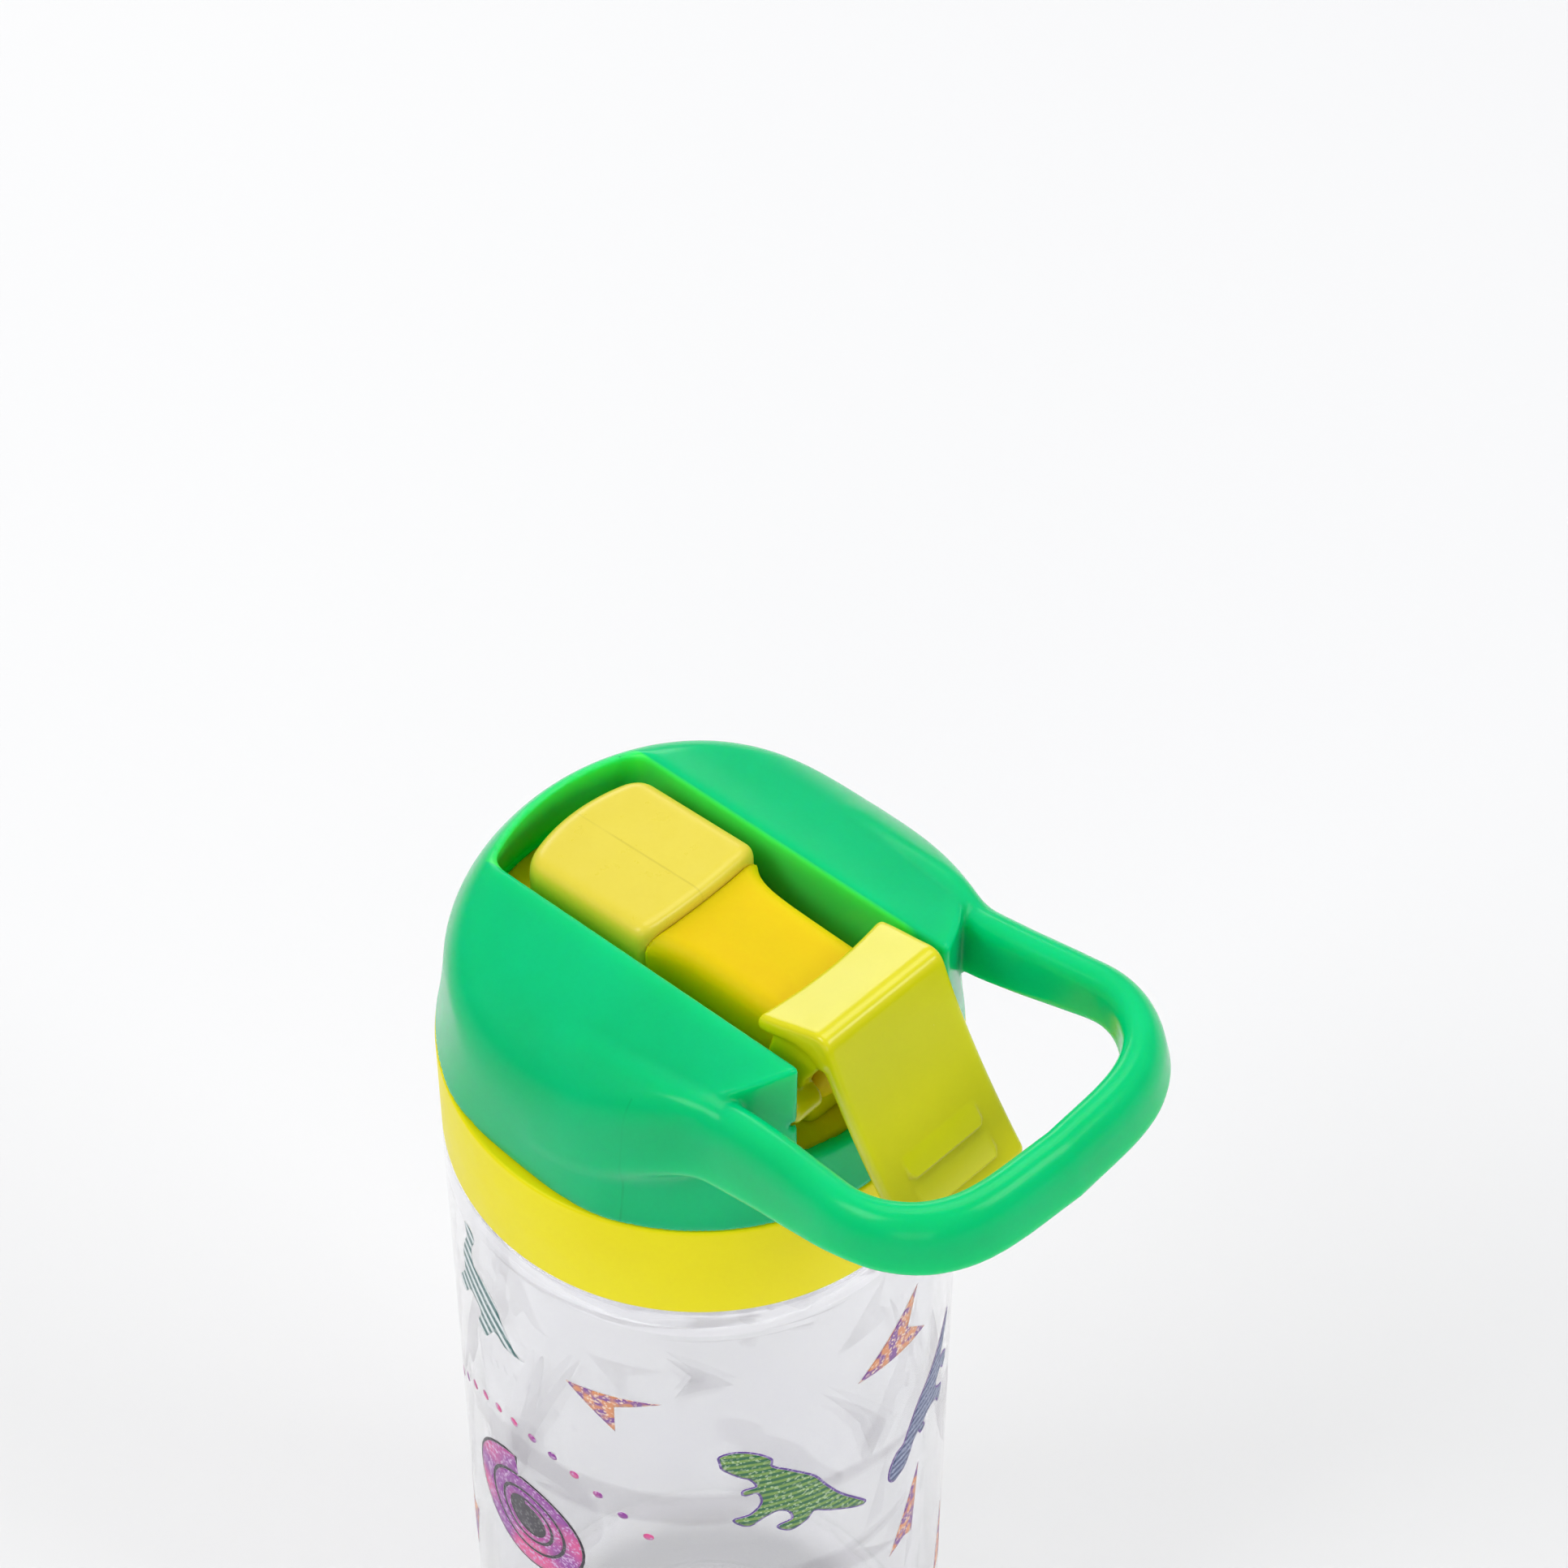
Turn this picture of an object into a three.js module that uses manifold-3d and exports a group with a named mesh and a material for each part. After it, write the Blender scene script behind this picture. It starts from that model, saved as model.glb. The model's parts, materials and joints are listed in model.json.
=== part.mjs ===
// Kids water bottle: a clear bottle, a screw lid with a domed cover and loop handle, and a flip-up
// spout worked by a thumb lever. Millimetres, +Z up. The origin is the centre of the flat base, the
// handle points along +X and the bottle is symmetric about the plane Y = 0.
import * as THREE from 'three';
import { mergeVertices } from 'three/addons/utils/BufferGeometryUtils.js';
import Module from 'manifold-3d';

const wasm = await Module();
wasm.setup();

// Driving dimensions.
const GAP = 0.3;               // clearance between touching pieces
const TURN = 60;               // facets round a full turn
const COLLAR_Z = 150;          // height of the collar's lower edge, the datum of every lid height below
const BODY_R = 36.07;          // bottle radius just under the collar
const BODY_DRAFT = 0.0105;     // radius lost per millimetre of height downwards
const WALL = 2.8;              // bottle wall
const FLOOR = 3.6;             // bottle base thickness

const NECK_R = 31.5;           // neck outside, thread root
const NECK_BORE = 28.7;        // mouth of the bottle
const NECK_TOP = 14;           // rim above the collar's lower edge
const PITCH = 4;               // thread lead per turn
const CREST = 32.7;            // outside of the bottle's thread
const SOCKET_R = 33.1;         // collar inside, its thread root
const SOCKET_CREST = 31.9;     // inside of the collar's thread

const COLLAR_R = 36.0;         // collar outside at its lower edge
const SEAM_Z = 18.7;           // collar top, where the cover begins
const SEAM_R = 36.2;           // radius at the seam
const DRUM_R = 32.3;           // lid base inside the cover
const CHANNEL_FLOOR = 28;      // top of the lid base, floor of the spout channel
const LEDGE_Z = 16.2;          // ledge that presses the seal

const SHELL = 2.4;             // cover wall
const SLOPE = 0.125;           // rise of the cover's top per millimetre towards the handle
const ARCH_HALF = 35;          // half width of the arched section at its spring
const ARCH_SPRING = 28;        // height of the spring at X = 0
const ARCH_RISE = 18.6;        // rise of the arch above its spring
const ARCH_POWER = 2.6;        // squareness of the arch
const CHANNEL_HALF = 13.6;     // half width of the spout channel
const CHANNEL_WALL = 2.0;      // wall beside the channel
const SILL_Z = 30;             // sill of the channel's front opening

const PIVOT = [29.6, 38];      // lever axis, X and height above the datum
const TRUNNION_R = 1.8;
const TRUNNION_HOLE_R = 2.1;
const TRUNNION_SEAT = 1.0;     // depth of the trunnion holes in the channel walls
const LEVER_HALF = 11.5;       // lever half width

// The resting spout rises towards the lever: each height is taken where its line crosses X = 0.
const TUBE_SLOPE = 0.1;
const TIP_SLOPE = 0.165;
const TIP = { back: -24.7, front: 0.4, half: 11.1, bottom: 34.6, top: 46.7, bow: 24 };
const TUBE = { back: 0.7, front: 30.5, half: 8.3, bottom: 34.5, top: 44.8, bore: 2.6 };
const TRAY = { back: -18, front: 15.4, half: 6.5, bottom: 31.8, top: 33.9, crossbar: 4.4 };
const BOSS = { x: 22.2, back: 16, front: 28.4, half: 7.8, top: 33, bore: 4.4 };
const ROOT = { stem: 4.1, flange: 6, lip: 4.9, top: 34.9, bore: 2.6 };
const VENT = { x: -8, y: 22, stem: 1.8, cap: 4.2 };

// A closed three.js geometry as a solid, with its faces turned outwards.
function solid(geometry) {
  const bare = geometry.clone();
  bare.deleteAttribute('normal');
  bare.deleteAttribute('uv');
  const welded = mergeVertices(bare, 1e-4);
  const at = welded.attributes.position.array;
  const index = welded.index.array;
  const faces = [];
  let volume = 0;
  for (let i = 0; i < index.length; i += 3) {
    const [a, b, c] = [index[i], index[i + 1], index[i + 2]];
    if (a === b || b === c || c === a) continue;
    faces.push(a, b, c);
    const [p, q, r] = [a, b, c].map((k) => new THREE.Vector3().fromArray(at, 3 * k));
    volume += p.dot(q.cross(r));
  }
  if (volume < 0) faces.reverse();
  const mesh = new wasm.Mesh({
    numProp: 3,
    vertProperties: new Float32Array(at),
    triVerts: new Uint32Array(faces),
  });
  return new wasm.Manifold(mesh);
}

const join = (...solids) => solids.reduce((whole, next) => whole.add(next));
const cut = (whole, ...tools) => tools.reduce((rest, tool) => rest.subtract(tool), whole);
const mirrored = (make) => [make(1), make(-1)];

function outline(points) {
  return new THREE.Shape(points.map(([x, y]) => new THREE.Vector2(x, y)));
}

// Heights in the lid are measured from the collar's lower edge.
const lidZ = (z) => z + COLLAR_Z;

// A solid of revolution about the bottle's axis, from [radius, height] points.
function turned(profile, z0 = COLLAR_Z) {
  const points = profile.map(([r, z]) => new THREE.Vector2(r, z + z0));
  return solid(new THREE.LatheGeometry(points, TURN).rotateX(Math.PI / 2));
}

function disc(radius, low, high) {
  return turned([[0, low], [radius, low], [radius, high], [0, high]]);
}

// A side profile of [X, height] points, as wide as the two Y limits.
function sideways(points, y0, y1, bevel = 0) {
  const geometry = new THREE.ExtrudeGeometry(outline(points), {
    depth: y1 - y0 - 2 * bevel,
    bevelEnabled: bevel > 0,
    bevelThickness: bevel,
    bevelSize: bevel,
    bevelOffset: -bevel,
    bevelSegments: 1,
  });
  return solid(geometry.rotateX(Math.PI / 2).translate(0, y1 - bevel, COLLAR_Z));
}

function block(x0, x1, y0, y1, z0, z1) {
  const box = new THREE.BoxGeometry(x1 - x0, y1 - y0, z1 - z0);
  return solid(box.translate((x0 + x1) / 2, (y0 + y1) / 2, lidZ((z0 + z1) / 2)));
}

function postY(x, z, radius, y0, y1) {
  const post = new THREE.CylinderGeometry(radius, radius, y1 - y0, 24);
  return solid(post.translate(x, (y0 + y1) / 2, lidZ(z)));
}

function postZ(x, y, radius, z0, z1) {
  const post = new THREE.CylinderGeometry(radius, radius, z1 - z0, 24).rotateX(Math.PI / 2);
  return solid(post.translate(x, y, lidZ((z0 + z1) / 2)));
}

function postX(z, radius, x0, x1, slope) {
  const post = new THREE.CylinderGeometry(radius, radius, x1 - x0, 24).rotateZ(Math.PI / 2);
  return solid(sloped(post.translate((x0 + x1) / 2, 0, lidZ(z)), slope));
}

// Every point raised in proportion to its X.
function sloped(geometry, slope) {
  const at = geometry.attributes.position;
  for (let i = 0; i < at.count; i += 1) at.setZ(i, at.getZ(i) + slope * at.getX(i));
  return geometry;
}

// A section in Y and height, run along X and sloped.
function runAlongX(points, x0, x1, slope, bevel = 0) {
  const geometry = new THREE.ExtrudeGeometry(outline(points), {
    depth: x1 - x0 - 2 * bevel,
    bevelEnabled: bevel > 0,
    bevelThickness: bevel,
    bevelSize: bevel,
    bevelOffset: -bevel,
    bevelSegments: 2,
  });
  geometry.applyMatrix4(new THREE.Matrix4().set(
    0, 0, 1, x0 + bevel,
    1, 0, 0, 0,
    0, 1, 0, COLLAR_Z,
    0, 0, 0, 1,
  ));
  return solid(sloped(geometry, slope));
}

function roundedBox(half, low, high, radius, perCorner = 4) {
  const points = [];
  const corners = [[1, 1], [-1, 1], [-1, -1], [1, -1]];
  const middle = (low + high) / 2;
  corners.forEach(([sy, sz], k) => {
    for (let i = 0; i <= perCorner; i += 1) {
      const angle = (k + i / perCorner) * Math.PI / 2;
      points.push([
        sy * (half - radius) + radius * Math.cos(angle),
        middle + sz * ((high - low) / 2 - radius) + radius * Math.sin(angle),
      ]);
    }
  });
  return points;
}

// A helical ridge from its foot radius to its crest radius, fading into the wall at both ends.
function thread(foot, crest, z0, turns) {
  const [footHalf, crestHalf] = [1.0, 0.5];
  const section = outline([[0, -footHalf], [1, -crestHalf], [1, crestHalf], [0, footHalf]]);
  const steps = Math.round(turns * TURN);
  const geometry = new THREE.ExtrudeGeometry(section, { depth: 1, steps, bevelEnabled: false });
  const at = geometry.attributes.position;
  for (let i = 0; i < at.count; i += 1) {
    const along = at.getZ(i);
    const fade = Math.min(1, 0.25 + 12 * Math.min(along, 1 - along));
    const angle = along * turns * 2 * Math.PI;
    const radius = foot + (crest - foot) * at.getX(i) * fade;
    at.setXYZ(
      i,
      radius * Math.cos(angle),
      radius * Math.sin(angle),
      lidZ(z0 + at.getY(i) * fade + PITCH * turns * along),
    );
  }
  return solid(geometry);
}

// The clear bottle: a drafted wall, a shoulder, a threaded neck and a flat base with one ring groove.
function bottleBody() {
  const baseR = BODY_R - BODY_DRAFT * COLLAR_Z;
  const profile = [
    [0, 0], [19, 0], [19.8, 0.8], [21.2, 0.8], [22, 0], [baseR - 4, 0], [baseR - 1.2, 1.2],
    [baseR, 4], [BODY_R - 0.03, COLLAR_Z - 2.5], [BODY_R - 0.35, COLLAR_Z - 0.6],
    [BODY_R - 0.95, COLLAR_Z - 0.05], [NECK_R, COLLAR_Z], [NECK_R, COLLAR_Z + NECK_TOP - 0.5],
    [NECK_R - 0.5, COLLAR_Z + NECK_TOP], [NECK_BORE + 0.4, COLLAR_Z + NECK_TOP],
    [NECK_BORE, COLLAR_Z + NECK_TOP - 0.4], [NECK_BORE, COLLAR_Z - 1],
    [BODY_R - WALL - 0.8, COLLAR_Z - 4.6], [BODY_R - WALL, COLLAR_Z - 7],
    [baseR - WALL, FLOOR + 2.4], [baseR - WALL - 0.7, FLOOR + 0.7], [baseR - WALL - 2.4, FLOOR],
    [0, FLOOR],
  ];
  return join(turned(profile, 0), thread(NECK_R - 0.3, CREST, 2.2, 2));
}

function lidSeal() {
  const [low, high] = [NECK_TOP + GAP, LEDGE_Z - GAP];
  return turned([
    [NECK_BORE, low], [SOCKET_CREST, low], [SOCKET_CREST + 0.4, low + 0.4],
    [SOCKET_CREST + 0.4, high - 0.4], [SOCKET_CREST, high], [NECK_BORE, high], [NECK_BORE, low],
  ]);
}

// The screw collar and lid floor, with the socket that holds the silicone and a seat for the vent.
function lidBase() {
  const skin = turned([
    [0, CHANNEL_FLOOR], [DRUM_R - 0.6, CHANNEL_FLOOR], [DRUM_R, CHANNEL_FLOOR - 0.6],
    [DRUM_R, SEAM_Z], [SEAM_R - 0.3, SEAM_Z], [SEAM_R, SEAM_Z - 0.4], [COLLAR_R, GAP + 0.4],
    [COLLAR_R - 0.4, GAP], [SOCKET_R, GAP], [SOCKET_R, LEDGE_Z], [29.2, LEDGE_Z],
    [29.2, CHANNEL_FLOOR - 4], [27.6, CHANNEL_FLOOR - 2.4], [0, CHANNEL_FLOOR - 2.4],
  ]);
  const boss = block(BOSS.back, BOSS.front, -BOSS.half, BOSS.half, CHANNEL_FLOOR - 1, BOSS.top);
  return cut(
    join(skin, thread(SOCKET_R + 0.3, SOCKET_CREST, 0.2 + PITCH, 2), boss),
    postZ(BOSS.x, 0, BOSS.bore, CHANNEL_FLOOR - 5, BOSS.top + 1),
    postZ(VENT.x, VENT.y, VENT.stem + GAP, CHANNEL_FLOOR - 5, CHANNEL_FLOOR + 1),
  );
}

// The cover's outer wall, as radius and height. It leans towards the handle as it rises, and rolls
// inwards above ROLL_Z round the back.
const WALL_LINE = [
  [36.2, 19], [35.6, 25], [35.2, 30], [35, 33], [34.8, 35], [34.6, 37], [34.5, 39], [34.5, 41],
  [34.3, 43], [34.2, 46], [33.9, 54],
];
const WALL_LEAN = 0.04;
const ROLL_Z = 36;
const ROLL = 0.04;

function wallSolid(inset) {
  const rising = WALL_LINE.map(([r, z]) => new THREE.Vector2(r - inset, z));
  const [low, high] = [rising[0].y, rising.at(-1).y];
  const points = [new THREE.Vector2(0, low), ...rising, new THREE.Vector2(0, high)];
  const geometry = new THREE.LatheGeometry(points, TURN).rotateX(Math.PI / 2);
  const at = geometry.attributes.position;
  for (let i = 0; i < at.count; i += 1) {
    const [x, y, z] = [at.getX(i), at.getY(i), at.getZ(i)];
    const radius = Math.hypot(x, y);
    const rear = THREE.MathUtils.smoothstep(-x / (radius || 1), -0.15, 0.6);
    const above = Math.max(0, z - SLOPE * x - ROLL_Z);
    const shrink = radius ? 1 - rear * ROLL * above ** 2 / radius : 1;
    at.setXYZ(i, x * shrink + WALL_LEAN * (z - low), y * shrink, lidZ(z));
  }
  return solid(geometry);
}

function arch(inset) {
  const points = [];
  const half = ARCH_HALF - inset;
  const rise = ARCH_RISE - inset;
  for (let i = 0; i <= 40; i += 1) {
    const angle = i / 40 * Math.PI;
    const [c, s] = [Math.cos(angle), Math.sin(angle)];
    points.push([
      half * Math.sign(c) * Math.abs(c) ** (2 / ARCH_POWER),
      ARCH_SPRING + rise * s ** (2 / ARCH_POWER),
    ]);
  }
  points.push([-half - 3, ARCH_SPRING - 14], [half + 3, ARCH_SPRING - 14]);
  return runAlongX(points, -40, 40, SLOPE);
}

// The loop handle: one section carried along the inner top edge of the loop.
function handle() {
  const arm = [
    [8, 22.6, 42.0], [18, 21.6, 44.7], [28, 20.8, 46.6], [37, 21.2, 48.0], [46, 22.0, 49.7],
    [52, 22.3, 50.8], [56.4, 20.6, 51.5], [59.6, 17.2, 52.0], [61.6, 11.4, 52.2],
  ];
  const back = arm.toReversed().map(([x, y, z]) => [x, -y, z]);
  const route = new THREE.CatmullRomCurve3(
    [...arm, [62.6, 0, 52.3], ...back].map(([x, y, z]) => new THREE.Vector3(x, y, z)),
  );
  const section = outline([
    [0, -16], [0, -0.7], [0.7, 0], [2.4, 0.8], [3.9, 0.6], [5.0, -0.5], [5.6, -2.2],
    [6.8, -8], [8.4, -16],
  ]);
  const geometry = new THREE.ExtrudeGeometry(section, { depth: 1, steps: 64, bevelEnabled: false });
  const at = geometry.attributes.position;
  for (let i = 0; i < at.count; i += 1) {
    const along = at.getZ(i);
    const on = route.getPointAt(along);
    const ahead = route.getTangentAt(along);
    const outward = new THREE.Vector2(-ahead.y, ahead.x).normalize().multiplyScalar(at.getX(i));
    at.setXYZ(i, on.x + outward.x, on.y + outward.y, lidZ(on.z + at.getY(i)));
  }
  const underside = [
    [4, 0], [4, 30], [17.5, 32.4], [31, 36.8], [44, 41.3], [50, 43.4], [54, 44.2], [80, 44.4], [80, 0],
  ];
  return cut(solid(geometry), sideways(underside, -50, 50));
}

// The green cover: arched dome and loop, hollow inside, with the spout channel cut through its top.
function lidShell() {
  const dome = arch(0).intersect(wallSolid(0));
  const drum = disc(DRUM_R + GAP, SEAM_Z - 5, CHANNEL_FLOOR + GAP);
  const hollow = arch(SHELL).intersect(wallSolid(SHELL));
  const pockets = mirrored((side) => {
    const [y0, y1] = [CHANNEL_HALF + CHANNEL_WALL, 50].map((y) => side * y).sort((a, b) => a - b);
    return hollow.intersect(block(-50, 50, y0, y1, CHANNEL_FLOOR - 2, 60));
  });
  const leaning = turned([[0, CHANNEL_FLOOR], [32.6, CHANNEL_FLOOR], [28.8, 42], [27, 60], [0, 60]]);
  const channel = leaning.intersect(
    block(-50, 5, -CHANNEL_HALF, CHANNEL_HALF, CHANNEL_FLOOR, 60),
  );
  const mouth = block(4, 50, -CHANNEL_HALF, CHANNEL_HALF, SILL_Z, 60);
  const well = disc(33.6, CHANNEL_FLOOR, SILL_Z + 1).intersect(
    block(4, 50, -CHANNEL_HALF, CHANNEL_HALF, CHANNEL_FLOOR, SILL_Z + 1),
  );
  const [pivotX, pivotZ] = PIVOT;
  const reach = CHANNEL_HALF + TRUNNION_SEAT;
  return cut(
    join(dome, handle()),
    drum,
    ...pockets,
    channel,
    mouth,
    well,
    postY(pivotX, pivotZ, TRUNNION_HOLE_R, -reach, reach),
  );
}

// The thumb lever: a bent plate on two cheeks with trunnions, and a tray that carries the spout.
function spoutLever() {
  const [x, z] = PIVOT;
  const outside = [
    [22.4, 49.9], [33.4, 54.2], [34.5, 54.0], [36.0, 51.0], [39.9, 42.2], [45.5, 32.8], [50.6, 25.4],
  ];
  const inside = [[48.5, 24.0], [43.2, 31.6], [37.6, 41.0], [33.7, 50.3], [32.8, 51.1], [23.2, 47.5]];
  const plate = sideways([...outside, ...inside], -LEVER_HALF, LEVER_HALF, 0.6);
  const ribs = [0, 1].map((k) => {
    const [ribX, ribZ] = [44.6 + 3.0 * k, 34.2 - 4.4 * k];
    const rib = [[ribX - 1, ribZ], [ribX + 0.6, ribZ + 0.2], [ribX + 1.7, ribZ - 1.8], [ribX, ribZ - 2.4]];
    return sideways(rib, -6.3, 6.3);
  });
  const inner = 8.7;
  const outer = 10.7;
  const seat = CHANNEL_HALF + TRUNNION_SEAT;
  const cheek = [
    [11, 33.2], [11, 35.8], [22.4, 38.6], [25, 48.9], [32.8, 52.0], [35.4, 49.4], [36.0, 47.0],
    [34.0, 41.0], [33.2, 36.0], [31, 34.0], [24, 34.4],
  ];
  const cheeks = mirrored((side) => {
    const [y0, y1] = [side * inner, side * outer].sort((a, b) => a - b);
    const [stub0, stub1] = [side * inner, side * (seat - GAP)].sort((a, b) => a - b);
    return join(
      sideways(cheek, y0, y1),
      postY(x, z, 4, y0, y1),
      postY(x, z, TRUNNION_R, stub0, stub1),
    );
  });
  const tray = runAlongX(
    [[-TRAY.half, TRAY.bottom], [TRAY.half, TRAY.bottom], [TRAY.half, TRAY.top], [-TRAY.half, TRAY.top]],
    TRAY.back, TRAY.front, TUBE_SLOPE,
  );
  const crossbar = runAlongX(
    [[-outer, TRAY.bottom], [outer, TRAY.bottom], [outer, TRAY.top], [-outer, TRAY.top]],
    TRAY.front - TRAY.crossbar, TRAY.front, TUBE_SLOPE,
  );
  return join(plate, ...ribs, ...cheeks, tray, crossbar);
}

// The hard mouthpiece: a rounded block with a bowed end, over a flat bottom and a drinking hole.
function spoutTip() {
  const bar = runAlongX(
    roundedBox(TIP.half, TIP.bottom - 3, TIP.top, 3.2), TIP.back, TIP.front, TIP_SLOPE, 0.8,
  );
  const bowed = new THREE.CylinderGeometry(TIP.bow, TIP.bow, 40, 96).rotateX(Math.PI / 2);
  const bow = solid(bowed.translate(TIP.back + TIP.bow, 0, lidZ(40)));
  const under = [-30, 5].map((x) => [x, TIP.bottom + TUBE_SLOPE * x]);
  const above = sideways([...under, [5, 60], [-30, 60]], -20, 20);
  return cut(
    bar.intersect(bow).intersect(above),
    postX((TUBE.bottom + TUBE.top) / 2, TUBE.bore, -30, 5, TUBE_SLOPE),
  );
}

// The silicone neck, bored along its length and down to the root.
function spoutTube() {
  const flare = outline([
    [TUBE.back, 0], [TUBE.back, 10.4], [2.6, 9.5], [5, 8.7], [8, TUBE.half], [26, TUBE.half],
    [TUBE.front, 6], [TUBE.front, -6], [26, -TUBE.half], [8, -TUBE.half], [5, -8.7],
    [2.6, -9.5], [TUBE.back, -10.4],
  ]);
  const plan = new THREE.ExtrudeGeometry(flare, { depth: 30, bevelEnabled: false });
  const bar = runAlongX(
    roundedBox(10.4, TUBE.bottom, TUBE.top, 2.6), TUBE.back, TUBE.front, TUBE_SLOPE,
  );
  return cut(
    bar.intersect(solid(plan.translate(0, 0, lidZ(25)))),
    postX((TUBE.bottom + TUBE.top) / 2, TUBE.bore, -5, BOSS.x + 1, TUBE_SLOPE),
    postZ(BOSS.x, 0, TUBE.bore, 30, 41),
  );
}

// The plug end of the silicone, seated in the boss of the lid base.
function spoutRoot() {
  const plug = [
    [ROOT.bore, CHANNEL_FLOOR - 4], [ROOT.lip, CHANNEL_FLOOR - 4],
    [ROOT.lip, CHANNEL_FLOOR - 2.7], [ROOT.stem, CHANNEL_FLOOR - 2.7],
    [ROOT.stem, BOSS.top + GAP], [ROOT.flange, BOSS.top + GAP], [ROOT.flange, ROOT.top],
    [ROOT.bore, ROOT.top], [ROOT.bore, CHANNEL_FLOOR - 4],
  ].map(([r, z]) => new THREE.Vector2(r, lidZ(z)));
  const geometry = new THREE.LatheGeometry(plug, 24).rotateX(Math.PI / 2);
  return solid(geometry.translate(BOSS.x, 0, 0));
}

// A small umbrella valve: cap below the lid floor, stem through it and a slit duck bill above.
function ventValve() {
  const valve = [
    [0, CHANNEL_FLOOR - 3.8], [2, CHANNEL_FLOOR - 3.8], [VENT.cap, CHANNEL_FLOOR - 3.2],
    [VENT.cap, CHANNEL_FLOOR - 2.7], [VENT.stem, CHANNEL_FLOOR - 2.7], [VENT.stem, CHANNEL_FLOOR + GAP],
    [VENT.stem + 0.8, CHANNEL_FLOOR + GAP], [VENT.stem + 0.8, CHANNEL_FLOOR + 1.2],
    [1.2, CHANNEL_FLOOR + 2.6], [0, CHANNEL_FLOOR + 2.6],
  ].map(([r, z]) => new THREE.Vector2(r, lidZ(z)));
  const geometry = new THREE.LatheGeometry(valve, 20).rotateX(Math.PI / 2);
  return solid(geometry.translate(VENT.x, VENT.y, 0));
}

const PLASTICS = {
  clear: { color: 0xe6e6ec, roughness: 0.08, metalness: 0, transparent: true, opacity: 0.4 },
  green: { color: 0x00c878, roughness: 0.32, metalness: 0 },
  yellow: { color: 0xe6da3c, roughness: 0.34, metalness: 0 },
  lime: { color: 0xd9d82c, roughness: 0.3, metalness: 0 },
  pale: { color: 0xeedf58, roughness: 0.3, metalness: 0 },
  golden: { color: 0xf0cf10, roughness: 0.5, metalness: 0 },
  white: { color: 0xf2f2ee, roughness: 0.55, metalness: 0 },
};

function piece(name, shape, plastic) {
  const { vertProperties, triVerts } = shape.getMesh();
  const geometry = new THREE.BufferGeometry();
  geometry.setAttribute('position', new THREE.BufferAttribute(vertProperties, 3));
  geometry.setIndex(new THREE.BufferAttribute(triVerts, 1));
  geometry.computeVertexNormals();
  const mesh = new THREE.Mesh(geometry, new THREE.MeshStandardMaterial(PLASTICS[plastic]));
  mesh.name = name;
  return mesh;
}

const spout = new THREE.Group().add(
  piece('spout_lever', spoutLever(), 'lime'),
  piece('spout_tip', spoutTip(), 'pale'),
  piece('spout_tube', spoutTube(), 'golden'),
);

const lid = new THREE.Group().add(
  piece('lid_base', lidBase(), 'yellow'),
  piece('lid_shell', lidShell(), 'green'),
  piece('lid_seal', lidSeal(), 'white'),
  piece('spout_root', spoutRoot(), 'golden'),
  piece('vent_valve', ventValve(), 'white'),
  spout,
);

const bottle = new THREE.Group().add(piece('bottle_body', bottleBody(), 'clear'), lid);

export default bottle;
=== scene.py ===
"""Looks of the kids water bottle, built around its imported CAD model.

Shapes are worked out in millimetres with heights measured from the collar's lower edge, as the lid was
designed, and become metres in the shared frame when a mesh is made.
"""
import json
import math

import bpy
import numpy as np
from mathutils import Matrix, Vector
from mathutils.geometry import delaunay_2d_cdt


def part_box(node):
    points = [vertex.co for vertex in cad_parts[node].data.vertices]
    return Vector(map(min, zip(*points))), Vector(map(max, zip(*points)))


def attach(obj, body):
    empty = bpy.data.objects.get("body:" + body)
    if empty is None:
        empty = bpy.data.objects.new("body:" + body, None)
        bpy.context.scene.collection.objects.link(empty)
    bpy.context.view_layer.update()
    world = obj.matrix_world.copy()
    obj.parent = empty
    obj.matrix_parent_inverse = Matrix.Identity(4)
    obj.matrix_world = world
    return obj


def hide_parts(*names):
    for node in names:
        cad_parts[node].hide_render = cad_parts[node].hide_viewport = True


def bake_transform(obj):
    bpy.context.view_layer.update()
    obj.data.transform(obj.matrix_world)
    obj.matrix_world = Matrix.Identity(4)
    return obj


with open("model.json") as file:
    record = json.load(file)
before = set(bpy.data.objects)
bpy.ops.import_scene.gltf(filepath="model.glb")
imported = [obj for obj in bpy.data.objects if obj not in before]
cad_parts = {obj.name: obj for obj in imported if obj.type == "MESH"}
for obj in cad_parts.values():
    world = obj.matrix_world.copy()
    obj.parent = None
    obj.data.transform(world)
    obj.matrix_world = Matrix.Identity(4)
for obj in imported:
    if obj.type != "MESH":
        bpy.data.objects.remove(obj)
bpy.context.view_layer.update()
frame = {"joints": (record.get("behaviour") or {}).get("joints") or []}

MM = 0.001

# ---------------------------------------------------------------- driving sizes, in millimetres

GAP = 0.3
BASE_LOW, BASE_HIGH = (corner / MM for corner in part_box("lid_base"))
BODY_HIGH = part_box("bottle_body")[1] / MM
SHELL_LOW, SHELL_HIGH = (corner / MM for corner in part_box("lid_shell"))
TIP_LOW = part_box("spout_tip")[0] / MM
TUBE_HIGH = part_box("spout_tube")[1] / MM
SEAL_LOW, SEAL_HIGH = (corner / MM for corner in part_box("lid_seal"))
FLIP = next(joint for joint in frame["joints"] if joint["name"] == "spout_flip")

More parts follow.
